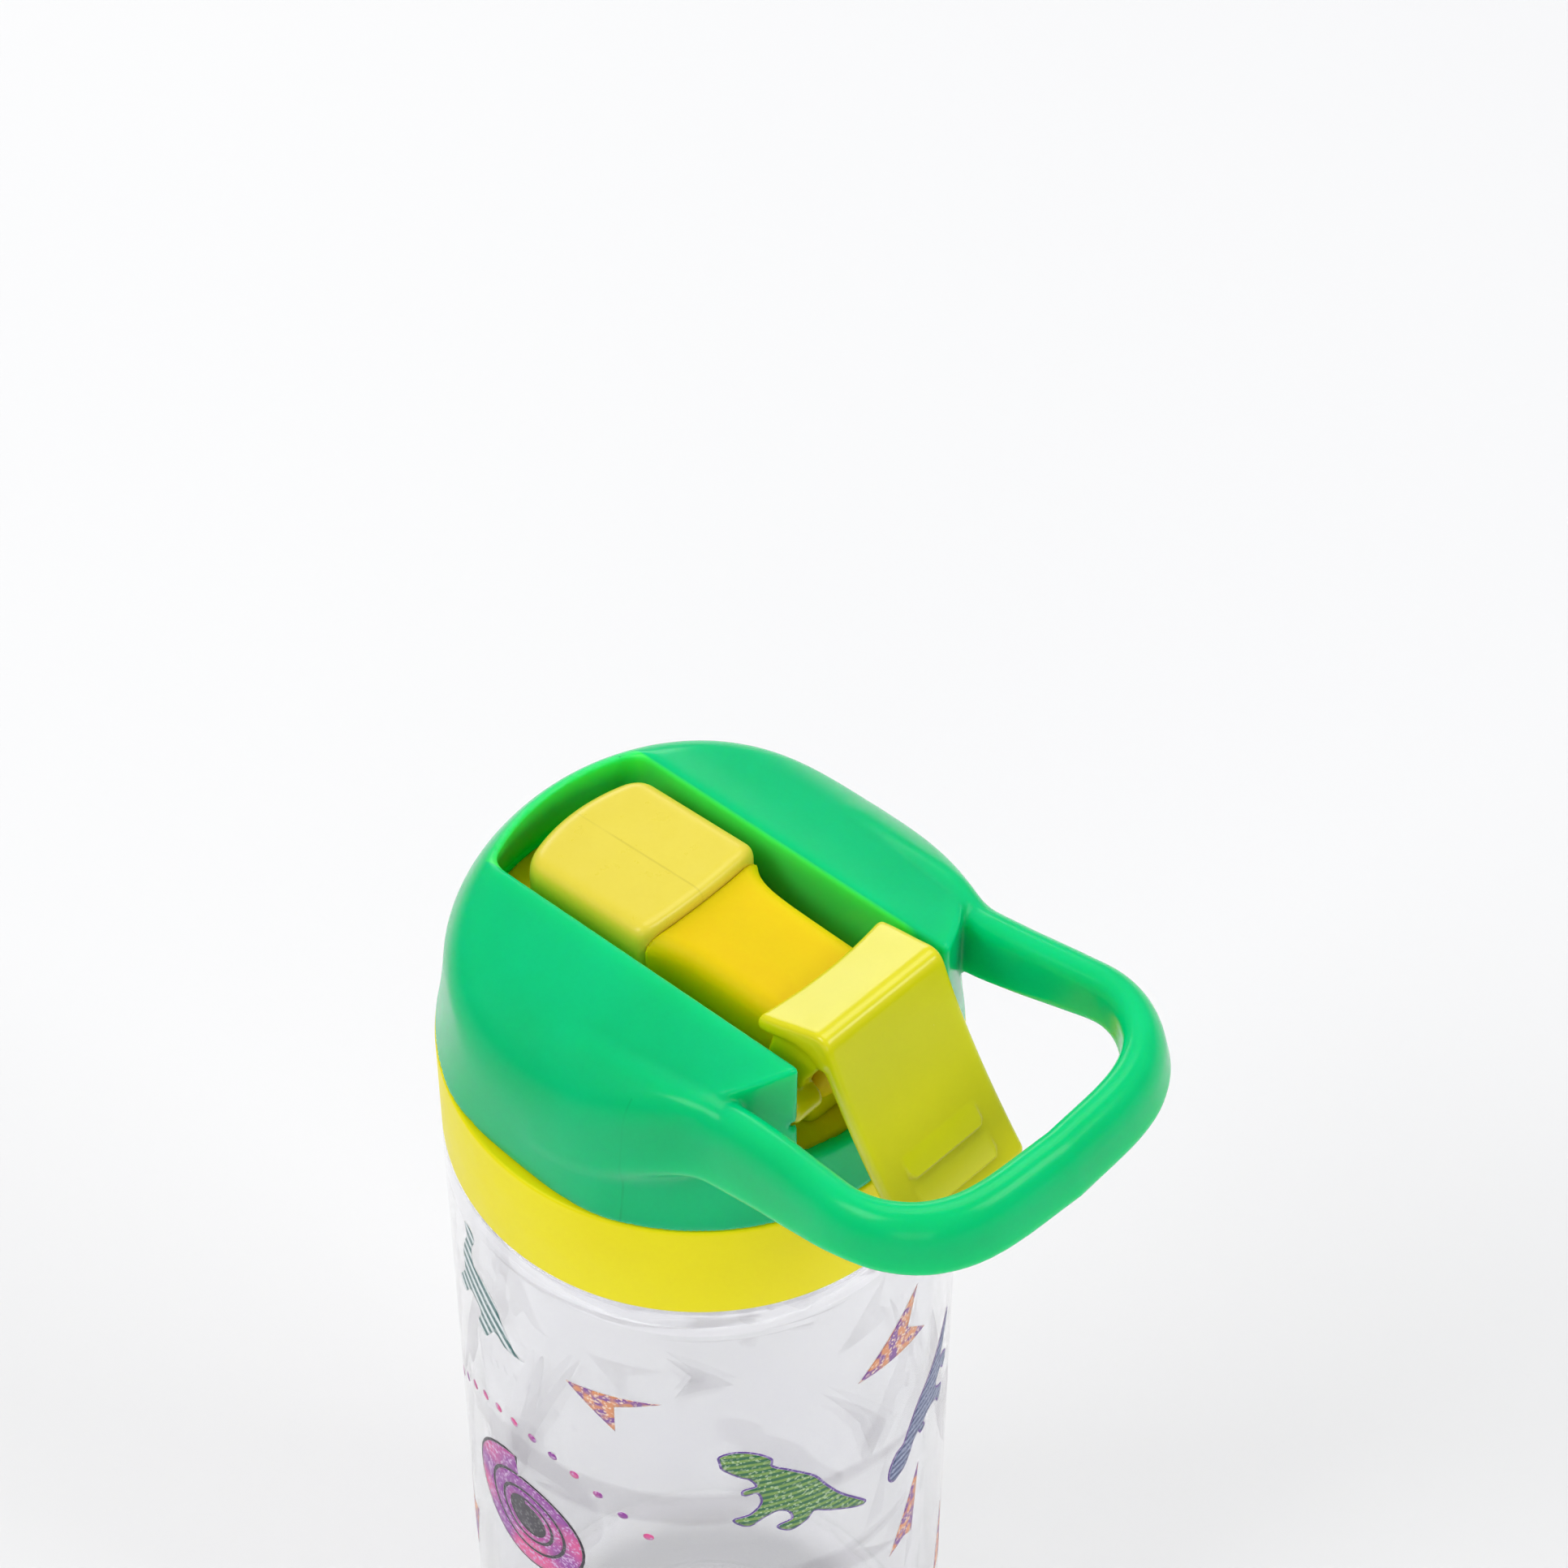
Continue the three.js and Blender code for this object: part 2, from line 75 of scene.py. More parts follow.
DATUM = BASE_LOW.z - GAP                 # height of the collar's lower edge above the base
PIVOT_X = FLIP["pos_m"][0] / MM
PIVOT_Z = FLIP["pos_m"][2] / MM - DATUM
BODY_R = BODY_HIGH.x                     # bottle radius just under the collar
BODY_DRAFT = 0.0105
BODY_WALL = 2.8
NECK_R = 31.5
NECK_BORE = 28.7
NECK_TOP = BODY_HIGH.z - DATUM
PITCH = 4.0
SEAM_Z = SHELL_LOW.z - DATUM - GAP       # top of the collar
SEAM_R = BASE_HIGH.x
COLLAR_R = SEAM_R - 0.2
DRUM_R = 32.3
FLOOR_Z = 28.0
SLOPE = 0.125                            # rise of the cover's top towards the handle
TUBE_SLOPE = 0.1


# ---------------------------------------------------------------- implicit surfaces and their meshes

def smooth_max(a, b, k):
    """The greater of two distances, with the corner between them rounded over k."""
    h = np.maximum(k - np.abs(a - b), 0) / k
    return np.maximum(a, b) + h * h * k / 4


def smooth_min(a, b, k):
    return -smooth_max(-a, -b, k)


def smoothstep(x, low, high):
    t = np.clip((x - low) / (high - low), 0, 1)
    return t * t * (3 - 2 * t)


def polygon_field(x, y, points):
    """Signed distance in a plane to a closed outline, negative inside."""
    points = np.asarray(points, float)
    best = np.full(np.shape(x), 1e9)
    inside = np.zeros(np.shape(x), bool)
    for (ax, ay), (bx, by) in zip(points, np.roll(points, -1, 0)):
        ex, ey = bx - ax, by - ay
        t = np.clip(((x - ax) * ex + (y - ay) * ey) / (ex * ex + ey * ey), 0, 1)
        best = np.minimum(best, np.hypot(x - ax - t * ex, y - ay - t * ey))
        crossing = ((ay > y) != (by > y)) & (x < ex * (y - ay) / (ey or 1e-12) + ax)
        inside ^= crossing
    return np.where(inside, -best, best)


def rounded_box(x, y, z, half_y, low_z, high_z, radius):
    """Signed distance of a bar along X with rounded long edges."""
    qy = np.abs(y) - half_y + radius
    qz = np.abs(z - (low_z + high_z) / 2) - (high_z - low_z) / 2 + radius
    outside = np.hypot(np.maximum(qy, 0), np.maximum(qz, 0))
    return outside + np.minimum(np.maximum(qy, qz), 0) - radius + 0 * x


def crossing_points(values, inside, axes, number):
    """For every mixed cell, the mean of the points where its edges cross the surface."""
    shape = np.array(values.shape) - 1
    total = np.zeros((number.max() + 1, 3))
    count = np.zeros(number.max() + 1)
    for axis in range(3):
        low = [slice(None)] * 3
        high = [slice(None)] * 3
        low[axis], high[axis] = slice(0, -1), slice(1, None)
        cut = np.argwhere(inside[tuple(low)] != inside[tuple(high)])
        a = values[tuple(cut.T)]
        step = np.eye(3, dtype=int)[axis]
        b = values[tuple((cut + step).T)]
        point = np.stack([axes[k][cut[:, k]] for k in range(3)], 1)
        point[:, axis] += (axes[axis][1] - axes[axis][0]) * a / (a - b)
        others = [k for k in range(3) if k != axis]
        for da in (0, 1):
            for db in (0, 1):
                cell = cut.copy()
                cell[:, others[0]] -= da
                cell[:, others[1]] -= db
                good = ((cell >= 0) & (cell < shape)).all(1)
                which = number[tuple(cell[good].T)]
                np.add.at(total, which, point[good])
                np.add.at(count, which, 1)
    return total / count[:, None]


def surface_quads(inside, number):
    """One quad for every grid edge that crosses the surface, facing outwards."""
    quads = []
    for axis in range(3):
        u, v = (axis + 1) % 3, (axis + 2) % 3
        low = [slice(1, -1)] * 3
        high = [slice(1, -1)] * 3
        low[axis], high[axis] = slice(0, -1), slice(1, None)
        a, b = inside[tuple(low)], inside[tuple(high)]
        cut = np.argwhere(a != b)
        leaving = a[tuple(cut.T)]
        cut[:, u] += 1
        cut[:, v] += 1
        corners = []
        for du, dv in ((1, 1), (0, 1), (0, 0), (1, 0)):
            cell = cut.copy()
            cell[:, u] -= du
            cell[:, v] -= dv
            corners.append(number[tuple(cell.T)])
        quad = np.stack(corners, 1)
        quads.append(np.where(leaving[:, None], quad, quad[:, ::-1]))
    return np.concatenate(quads)


def settle(points, field, cell, rounds):
    """Moves points onto the surface along the field's own slope."""
    nudge = 0.02
    for _ in range(rounds):
        value = field(*points.T)
        slope = np.stack([
            field(*(points + nudge * step).T) - field(*(points - nudge * step).T)
            for step in np.eye(3)
        ], 1) / (2 * nudge)
        size = np.maximum((slope ** 2).sum(1), 0.05)
        move = np.clip(value / size, -cell / 2, cell / 2)
        points = points - slope * move[:, None]
    return points


def relax(points, quads, share):
    """Evens the mesh out by pulling each point towards the middle of its neighbours."""
    total = np.zeros_like(points)
    count = np.zeros(len(points))
    for a, b in ((0, 1), (1, 2), (2, 3), (3, 0)):
        np.add.at(total, quads[:, a], points[quads[:, b]])
        np.add.at(total, quads[:, b], points[quads[:, a]])
        np.add.at(count, quads[:, a], 1)
        np.add.at(count, quads[:, b], 1)
    return points + share * (total / count[:, None] - points)


def implicit(field, low, high, cell):
    """Points and quads of the surface where the field is zero."""
    axes = [np.arange(a, b + cell, cell) for a, b in zip(low, high)]
    values = field(*np.meshgrid(*axes, indexing="ij"))
    inside = values < 0
    n = np.array(inside.shape) - 1
    corners = sum(
        inside[i:n[0] + i, j:n[1] + j, k:n[2] + k].astype(np.int8)
        for i in (0, 1) for j in (0, 1) for k in (0, 1)
    )
    mixed = (corners > 0) & (corners < 8)
    number = np.full(mixed.shape, -1)
    number[mixed] = np.arange(mixed.sum())
    points = crossing_points(values, inside, axes, number)
    quads = surface_quads(inside, number)
    points = settle(points, field, cell, 2)
    for _ in range(3):
        points = settle(relax(points, quads, 0.5), field, cell, 1)
    return settle(points, field, cell, 2), quads


def mesh_object(name, points, faces, material):
    """A smooth-shaded object from points in millimetres above the collar's lower edge."""
    points = np.asarray(points, float) + (0, 0, DATUM)
    faces = np.asarray(faces)
    mesh = bpy.data.meshes.new(name)
    mesh.vertices.add(len(points))
    mesh.vertices.foreach_set("co", (points * MM).astype(np.float32).ravel())
    mesh.loops.add(faces.size)
    mesh.loops.foreach_set("vertex_index", faces.astype(np.int32).ravel())
    mesh.polygons.add(len(faces))
    starts = np.arange(0, faces.size, faces.shape[1], dtype=np.int32)
    mesh.polygons.foreach_set("loop_start", starts)
    mesh.update(calc_edges=True)
    mesh.validate()
    mesh.shade_smooth()
    mesh.materials.append(material)
    piece = bpy.data.objects.new(name, mesh)
    bpy.context.scene.collection.objects.link(piece)
    return piece


def place(piece, body, slot, *nodes):
    """Ties a finished piece to its body and hides the CAD nodes that it stands for; the slot argument is
    not used.
    """
    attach(piece, body)
    if nodes:
        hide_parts(*nodes)
    return piece


def lathe(profile, turns, centre=(0, 0)):
    """Points and quads of a closed profile of (radius, height) turned about an upright axis."""
    profile = np.asarray(profile, float)
    angle = np.arange(turns) / turns * 2 * np.pi
    r, z = profile[:, 0], profile[:, 1]
    points = np.stack([
        centre[0] + np.outer(r, np.cos(angle)), centre[1] + np.outer(r, np.sin(angle)),
        np.repeat(z[:, None], turns, 1),
    ], 2).reshape(-1, 3)
    faces = []
    across = np.arange(turns)
    for row in range(len(profile)):
        a = row * turns + across
        b = row * turns + (across + 1) % turns
        c = (row + 1) % len(profile) * turns + (across + 1) % turns
        d = (row + 1) % len(profile) * turns + across
        faces.append(np.stack([a, b, c, d], 1))
    return points, np.concatenate(faces)


def rounded(corners, steps):
    """A closed outline of (x, y, radius) corners with each corner turned into an arc."""
    outline = []
    count = len(corners)
    for k, (x, y, radius) in enumerate(corners):
        here = np.array([x, y], float)
        before = np.array(corners[k - 1][:2], float) - here
        after = np.array(corners[(k + 1) % count][:2], float) - here
        if radius <= 0:
            outline.append(here)
            continue
        lengths = np.linalg.norm(before), np.linalg.norm(after)
        before, after = before / lengths[0], after / lengths[1]
        half = math.acos(np.clip(before @ after, -1, 1)) / 2
        back = min(radius / math.tan(half), 0.49 * min(lengths))
        start, end = here + before * back, here + after * back
        for t in np.linspace(0, 1, steps):
            outline.append((1 - t) ** 2 * start + 2 * t * (1 - t) * here + t * t * end)
    return np.array(outline)


def blur_steps(x, xs, ys, reach):
    """A broken line's height at x, with its corners eased over reach."""
    return sum(np.interp(x + shift, xs, ys) for shift in (-reach, -reach / 2, 0, reach / 2, reach)) / 5


# ---------------------------------------------------------------- the green cover

WALL_LEAN = 0.04
ROLL_Z = 36.0
ROLL = 0.04
ARCH_HALF = 35.0
ARCH_SPRING = 28.0
ARCH_RISE = 18.6
ARCH_POWER = 2.6
SHELL = 2.4
CHANNEL_HALF = 13.6
CHANNEL_WALL = 2.0
SILL_Z = 30.0
BEARING_R = 2.1
BEARING_DEPTH = 1.0
HANDLE_ROUTE = [
    (2, 23, 38.6), (10, 22.4, 41.0), (18, 21.7, 43.4), (28, 20.9, 45.9), (37, 21.2, 47.9),
    (46, 22, 49.7), (52, 22.3, 50.8), (56.6, 20.7, 51.5), (60.2, 17.2, 52), (62.2, 11.4, 52.2),
    (63, 0, 52.3),
]
HANDLE_UNDER = [(4, 30), (17.5, 31.8), (31, 35.7), (44, 40.2), (50, 42.3), (54, 43.3), (80, 43.8)]


def spline(points, steps):
    """A Catmull-Rom curve through the points."""
    points = np.asarray(points, float)
    ends = np.concatenate([[2 * points[0] - points[1]], points, [2 * points[-1] - points[-2]]])
    t = np.linspace(0, 1, steps, endpoint=False)[:, None]
    curve = []
    for a, b, c, d in zip(ends, ends[1:], ends[2:], ends[3:]):
        curve.append(
            (2 * b + (c - a) * t + (2 * a - 5 * b + 4 * c - d) * t ** 2
             + (3 * b - a - 3 * c + d) * t ** 3) / 2
        )
    return np.concatenate(curve + [points[-1:]])


class HandleRoute:
    """Offset from the loop's inner top edge, and that edge's height, looked up by X and Y."""

    step = 0.25
    low = (-14.0, 0.0)
    high = (74.0, 40.0)

    def __init__(self):
        half = spline(HANDLE_ROUTE, 14)
        loop = np.concatenate([half, half[-2::-1] * (1, -1, 1)])
        self.axes = [np.arange(a, b + self.step, self.step) for a, b in zip(self.low, self.high)]
        x, y = np.meshgrid(*self.axes, indexing="ij")
        best = np.full(x.shape, 1e9)
        self.height = np.zeros(x.shape)
        for a, b in zip(loop, loop[1:]):
            ex, ey = b[0] - a[0], b[1] - a[1]
            t = np.clip(((x - a[0]) * ex + (y - a[1]) * ey) / (ex * ex + ey * ey), 0, 1)
            reach = np.hypot(x - a[0] - t * ex, y - a[1] - t * ey)
            closer = reach < best
            best = np.where(closer, reach, best)
            self.height = np.where(closer, a[2] + t * (b[2] - a[2]), self.height)
        inside = polygon_field(x, y, loop[:, :2]) < 0
        self.offset = np.where(inside, -best, best)

    def at(self, x, y):
        u = (np.clip(x, self.low[0], self.high[0] - self.step) - self.low[0]) / self.step
        v = (np.clip(np.abs(y), self.low[1], self.high[1] - self.step) - self.low[1]) / self.step
        i, j = np.floor(u).astype(int), np.floor(v).astype(int)
        fu, fv = u - i, v - j

        def read(table):
            return (
                table[i, j] * (1 - fu) * (1 - fv) + table[i + 1, j] * fu * (1 - fv)
                + table[i, j + 1] * (1 - fu) * fv + table[i + 1, j + 1] * fu * fv
            )

        return read(self.offset), read(self.height)


def wall_radius(z):
    return 34.1 + 2.1 * np.exp(-(z - SEAM_Z) / 13.5)


def cover_wall(x, y, z):
    """The cover's outer wall, leaning towards the handle and rolling inwards round the back."""
    leaned = x - WALL_LEAN * (z - SEAM_Z)
    radius = np.hypot(leaned, y)
    rear = smoothstep(-leaned / np.maximum(radius, 1e-6), -0.15, 0.6)
    above = np.maximum(0, z - SLOPE * x - ROLL_Z)
    return radius - wall_radius(z) + rear * ROLL * above ** 2


def cover_arch(x, y, z):
    """The cover's top, a squared arch across Y that rises towards the handle."""
    across = np.abs(y) / ARCH_HALF
    up = np.maximum(z - SLOPE * x - ARCH_SPRING, 0) / ARCH_RISE
    size = np.maximum((across ** ARCH_POWER + up ** ARCH_POWER) ** (1 / ARCH_POWER), 1e-3)
    slope = size ** (1 - ARCH_POWER) * np.hypot(
        across ** (ARCH_POWER - 1) / ARCH_HALF, up ** (ARCH_POWER - 1) / ARCH_RISE
    )
    return (size - 1) / np.maximum(slope, 0.02)


def cover_dome(x, y, z):
    crisp_front = smoothstep(x, 18, 28) * (1 - smoothstep(np.abs(y), 21.5, 26))
    return smooth_max(cover_wall(x, y, z), cover_arch(x, y, z), 2.6 - 1.9 * crisp_front)


def loop_handle(x, y, z, route):
    """The loop: an upright inner wall, a crowned top, a flared outer face and a rising underside."""
    u, edge = route.at(x, y)
    v = z - edge
    crown = v - 0.85 + 0.11 * (u - 2.7) ** 2
    outer = (u - 5.2 + 0.2 * v) / math.hypot(1, 0.2)
    xs, zs = zip(*HANDLE_UNDER)
    under = (blur_steps(x, xs, zs, 2.0) - z) * 0.95
    section = smooth_max(smooth_max(-u, crown, 1.6), outer, 3.4)
    return smooth_max(smooth_max(section, under, 1.8), 5 - x, 3)


def spout_slot(x, y, z):
    """The channel for the folded spout, open at the top and towards the lever."""
    side = np.abs(y) - CHANNEL_HALF
    radius = np.hypot(x, y)
    rear = radius - np.interp(z, (FLOOR_Z, 42, 60), (32.6, 28.8, 27))
    channel = np.maximum(smooth_max(side, rear, 2.4), np.maximum(FLOOR_Z - z, x - 5))
    mouth = np.maximum(np.maximum(side, SILL_Z - z), np.abs(x - 27) - 23)
    well = np.maximum(np.maximum(side, radius - 33.6), np.maximum(FLOOR_Z - z, 4 - x))
    return np.minimum(channel, np.minimum(mouth, well))


def make_cover(material):
    route = HandleRoute()

    def field(x, y, z):
        dome = cover_dome(x, y, z)
        ease = 1.0 + 4.5 * smoothstep(np.abs(y), 21.5, 27)
        whole = smooth_min(dome, loop_handle(x, y, z, route), ease)
        whole = smooth_max(whole, SEAM_Z + GAP - z, 0.5)
        whole = smooth_max(whole, -spout_slot(x, y, z), 1.2)
        pocket = np.maximum(
            dome + SHELL,
            np.maximum(CHANNEL_HALF + CHANNEL_WALL - np.abs(y), FLOOR_Z - 2 - z),
        )
        drum = np.maximum(np.hypot(x, y) - DRUM_R - GAP, z - FLOOR_Z - GAP)
        bearing = np.maximum(
            np.hypot(x - PIVOT_X, z - PIVOT_Z) - BEARING_R, np.abs(y) - CHANNEL_HALF - BEARING_DEPTH
        )
        hollow = np.minimum(np.minimum(pocket, drum), bearing)
        return smooth_max(whole, -hollow, 0.4)

    low = (SHELL_LOW.x - 2, SHELL_LOW.y - 2, SEAM_Z - 1)
    high = (SHELL_HIGH.x + 3, SHELL_HIGH.y + 2, SHELL_HIGH.z - DATUM + 3)
    points, quads = implicit(field, low, high, 0.55)
    return place(mesh_object("cover", points, quads, material), "lid", "green_cover", "lid_shell")


# ---------------------------------------------------------------- the thumb lever

LEVER_T = 2.7
LEVER_HALF = 11.0
LEVER_BACK = (22.4, 49.9)
LEVER_END = (50.6, 25.4)
LEVER_TOP_SLOPE = 0.393
CHEEK_Y = 9.7                  # middle of each cheek's thickness
CHEEK_T = 2.0
HUB_R = 2.3
PIN_R = 1.8
TRAY_FRONT = 15.4
TRAY_Z = 32.85                 # middle of the tray's thickness, before it slopes
TRAY_T = 2.1
CHEEK = [
    (11, 33.2), (11, 35.8), (22.4, 38.6), (25, 48.9), (32.0, 51.6), (34.2, 49.8), (33.0, 47.4),
    (30.4, 42.4), (29.8, 40.2), (29.8, 36.0), (27, 34.4),
]
RIB_EDGES = (32.0, 27.9)       # height of each grip rib's lower edge at the middle of the lever
RIB_HEIGHT = 0.75
RIB_HALF = 6.9
RIB_RUN = 3.0
RIB_CORNER = 1.1


def lever_face(z):
    """X of the lever's outer face, and how fast it changes with height."""
    up = z - 32.8
    return 45.5 - 0.679 * up + 0.007 * up ** 2, -0.679 + 0.014 * up


def grip_ribs(y, z):
    """Height of the wedge ribs: each ramps out downwards and drops off at an upturned lower edge."""
    height = 0
    for edge in RIB_EDGES:
        past = z - edge
        beside = np.maximum(np.abs(y) - RIB_HALF + RIB_CORNER, 0)
        below = np.maximum(RIB_CORNER - past, 0)
        inset = RIB_CORNER - np.hypot(beside, below)
        ramp = np.clip(1 - past / RIB_RUN, 0, 1)
        height = np.maximum(height, RIB_HEIGHT * ramp * smoothstep(inset, -0.1, 0.3))
    return height


def make_lever(material):
    def field(x, y, z):
        face_x, lean = lever_face(z)
        above = z - LEVER_BACK[1] - LEVER_TOP_SLOPE * (x - LEVER_BACK[0])
        top = above / math.hypot(1, LEVER_TOP_SLOPE)
        face = (x - face_x) / np.hypot(1, lean)
        outside = smooth_max(top, face, 2.4) - grip_ribs(y, z)
        inside = smooth_max(top + LEVER_T, face + LEVER_T, 6)
        half = LEVER_HALF + 0.6 * smoothstep(33 - x, 0, 10)
        plate = smooth_max(outside, -inside, 0.8)
        plate = smooth_max(plate, np.abs(y) - half, 1.1)
        back = LEVER_BACK[0] + 1.1 * (1 - (y / LEVER_HALF) ** 2)
        plate = smooth_max(plate, back - x, 1.0)
        low_end = (x - LEVER_END[0]) * 0.6 - (z - LEVER_END[1]) * 0.8
        plate = smooth_max(plate, low_end, 1.5)
        side = np.abs(np.abs(y) - CHEEK_Y) - CHEEK_T / 2
        cheek = smooth_max(polygon_field(x, z, CHEEK), side, 0.5)
        reach = np.hypot(x - PIVOT_X, z - PIVOT_Z)
        hub = smooth_max(reach - HUB_R, np.abs(np.abs(y) - 11) - 2.3, 0.6)
        pin = smooth_max(reach - PIN_R, np.abs(np.abs(y) - 11.5) - 2.8, 0.5)
        level = np.abs(z - TUBE_SLOPE * x - TRAY_Z) - TRAY_T / 2
        tray = smooth_max(np.abs(y) - 6.5, level, 0.6)
        tray = smooth_max(tray, np.abs(x + 1.3) - 16.7, 0.6)
        bar = smooth_max(np.abs(y) - 10.7, level, 0.5)
        bar = smooth_max(bar, np.abs(x - TRAY_FRONT + 2.2) - 2.2, 0.5)
        body = smooth_min(plate, cheek, 1.2)
        for part in (hub, pin, tray, bar):
            body = smooth_min(body, part, 0.6)
        return body

    points, quads = implicit(field, (-19, -15.4, 23), (53, 15.4, 56), 0.36)
    return place(mesh_object("thumb_lever", points, quads, material), "spout", "lime_lever", "spout_lever")


# ---------------------------------------------------------------- the spout

TIP_SLOPE = 0.165
TIP_HALF = 11.1
TIP_TOP = 46.7
TIP_FRONT = 0.9
TIP_NOSE_R = 100.0
TUBE_LOW_Z, TUBE_HIGH_Z = 34.5, 44.8
TUBE_HALF = 8.3
BORE = 2.6
BOSS_X = 22.2                  # the silicone's foot and its socket in the lid floor
STEM_R = 4.1
LIP_R = 4.9
SOCKET_R = 4.4
BEND_X = 24.8                  # middle of the soft block that bends when the spout flips


def bore_field(x, y, z):
    return np.hypot(y, z - (TUBE_LOW_Z + TUBE_HIGH_Z) / 2 - TUBE_SLOPE * x) - BORE


def tip_nose(x, y):
    """The slightly bowed face where the mouthpiece meets the silicone."""
    return np.hypot(x - TIP_FRONT + TIP_NOSE_R, y) - TIP_NOSE_R


def make_tip(material):
    back = TIP_LOW.x

    def field(x, y, z):
        raised = z - TIP_SLOPE * x
        side = np.abs(y) - TIP_HALF
        block = smooth_max(side, raised - TIP_TOP, 2.6)
        bow = np.hypot(x - back - 24, y) - 24
        block = smooth_max(block, bow, 2.4)
        block = smooth_max(block, tip_nose(x, y), 2.0)
        block = smooth_max(block, TUBE_LOW_Z + 0.1 + TUBE_SLOPE * x - z, 2.0)
        return smooth_max(block, -bore_field(x, y, z), 0.8)

    points, quads = implicit(field, (back - 1, -12.4, 30), (2.2, 12.4, 49), 0.4)
    return place(mesh_object("mouthpiece", points, quads, material), "spout", "pale_tip", "spout_tip")


def make_neck(material):
    def field(x, y, z):
        raised = z - TUBE_SLOPE * x
        half = TUBE_HALF + 2.1 * np.exp((TIP_FRONT - x) / 2.6) - 2.2 * smoothstep(x, 25.5, 31)
        bar = rounded_box(x, y, raised, half, TUBE_LOW_Z, TUBE_HIGH_Z, 2.8)
        bar = smooth_max(bar, x - TUBE_HIGH.x, 1.4)
        bar = smooth_max(bar, 0.06 - tip_nose(x, y), 0.3)
        reach = np.hypot(x - BOSS_X, y)
        stem = smooth_max(reach - STEM_R, np.abs(z - 30.5) - 6.5, 0.4)
        lip = smooth_max(reach - LIP_R, np.abs(z - 24.65) - 0.65, 0.6)
        bend = rounded_box(x - BEND_X, y, z, 7.4, 33.4, 40.0, 2.2)
        bend = smooth_max(bend, np.abs(x - BEND_X) - 5.4, 2.2)
        body = smooth_min(smooth_min(bar, smooth_min(stem, bend, 1.0), 1.0), lip, 0.4)
        along = np.maximum(bore_field(x, y, z), x - BOSS_X)
        down = np.maximum(reach - BORE, z - 40.6)
        return smooth_max(body, -np.minimum(along, down), 0.5)

    points, quads = implicit(field, (-0.6, -12, 23), (32, 12, 49), 0.42)
    neck = mesh_object("silicone_neck", points, quads, material)
    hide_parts("spout_tube", "spout_root")
    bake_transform(neck)
    return neck


# ---------------------------------------------------------------- collar, seal, vent and bottle

COLLAR_BORE = 33.1
COLLAR_CREST = 31.9            # the collar thread's inner radius
NECK_CREST = 32.7              # the neck thread's outer radius
THREAD_TURNS = 2
THREAD_STEP = 0.22             # spacing of points on a threaded wall
VENT_AT = (-8, 22)
VENT_HOLE_R = 2.1


def thread_ridge(points, foot, crest, start, turns):
    """Raises a helical ridge from a wall at radius foot, by moving the wall's own points."""
    radius = np.hypot(points[:, 0], points[:, 1])
    angle = np.mod(np.arctan2(points[:, 1], points[:, 0]), 2 * np.pi) / (2 * np.pi)
    on_wall = np.abs(radius - foot) < 0.02
    lift = np.zeros(len(points))
    for turn in range(turns):
        along = angle + turn
        centre = start + PITCH * along
        fade = np.clip(12 * np.minimum(along, turns - along) / turns, 0, 1)
        ridge = np.clip(1.9 - 1.9 * np.abs(points[:, 2] - centre), 0, 1)
        lift = np.maximum(lift, smoothstep(ridge, 0, 1) * fade)
    scale = np.where(on_wall, (foot + (crest - foot) * lift) / np.maximum(radius, 1e-6), 1)
    points = points.copy()
    points[:, :2] *= scale[:, None]
    return points


def stretch(a, b, step):
    """Points from a to b, without b, no further apart than step."""
    a, b = np.array(a, float), np.array(b, float)
    count = max(1, math.ceil(np.linalg.norm(b - a) / step))
    return [tuple(a + (b - a) * k / count) for k in range(count)]


def finer_wall(profile, radius):
    """The profile with closely spaced points on its upright wall at a radius, for a thread."""
    wall = np.nonzero(np.abs(profile[:, 0] - radius) < 0.01)[0]
    first, last = wall[0], wall[-1]
    fine = stretch(profile[first], profile[last], THREAD_STEP)
    return np.concatenate([profile[:first], fine, profile[last:]])


def make_collar(material):
    corners = [
        (0.02, FLOOR_Z, 0), (DRUM_R, FLOOR_Z, 0.8), (DRUM_R, SEAM_Z, 0.3), (SEAM_R, SEAM_Z, 0.55),
        (COLLAR_R, GAP, 0.6), (COLLAR_BORE, GAP, 0.5), (COLLAR_BORE, 16.2, 0), (29.2, 16.2, 0.3),
        (29.2, 24, 1.2), (27.6, 25.6, 1.2), (0.02, 25.6, 0),
    ]
    profile = finer_wall(rounded(corners, 7), COLLAR_BORE)
    points, quads = lathe(profile, 360)
    points = thread_ridge(points, COLLAR_BORE, COLLAR_CREST, 0.2 + PITCH, THREAD_TURNS)
    collar = mesh_object("collar", points, quads[:, ::-1], material)
    for centre, radius in (((BOSS_X, 0), SOCKET_R), (VENT_AT, VENT_HOLE_R)):
        drill(collar, centre, radius, FLOOR_Z - 5, FLOOR_Z + 1)
    return place(collar, "lid", "yellow_collar", "lid_base")


def drill(piece, centre, radius, low, high):
    """Cuts an upright round hole through a piece."""
    profile = [(0.01, low), (radius, low), (radius, high), (0.01, high)]
    points, quads = lathe(profile, 64, centre)
    tool = mesh_object("drill", points, quads, piece.data.materials[0])
    cutter = piece.modifiers.new("hole", "BOOLEAN")
    cutter.operation = "DIFFERENCE"
    cutter.solver = "EXACT"
    cutter.object = tool
    graph = bpy.context.evaluated_depsgraph_get()
    mesh = bpy.data.meshes.new_from_object(piece.evaluated_get(graph))
    piece.modifiers.clear()
    piece.data = mesh
    mesh.shade_smooth()
    bpy.data.objects.remove(tool)


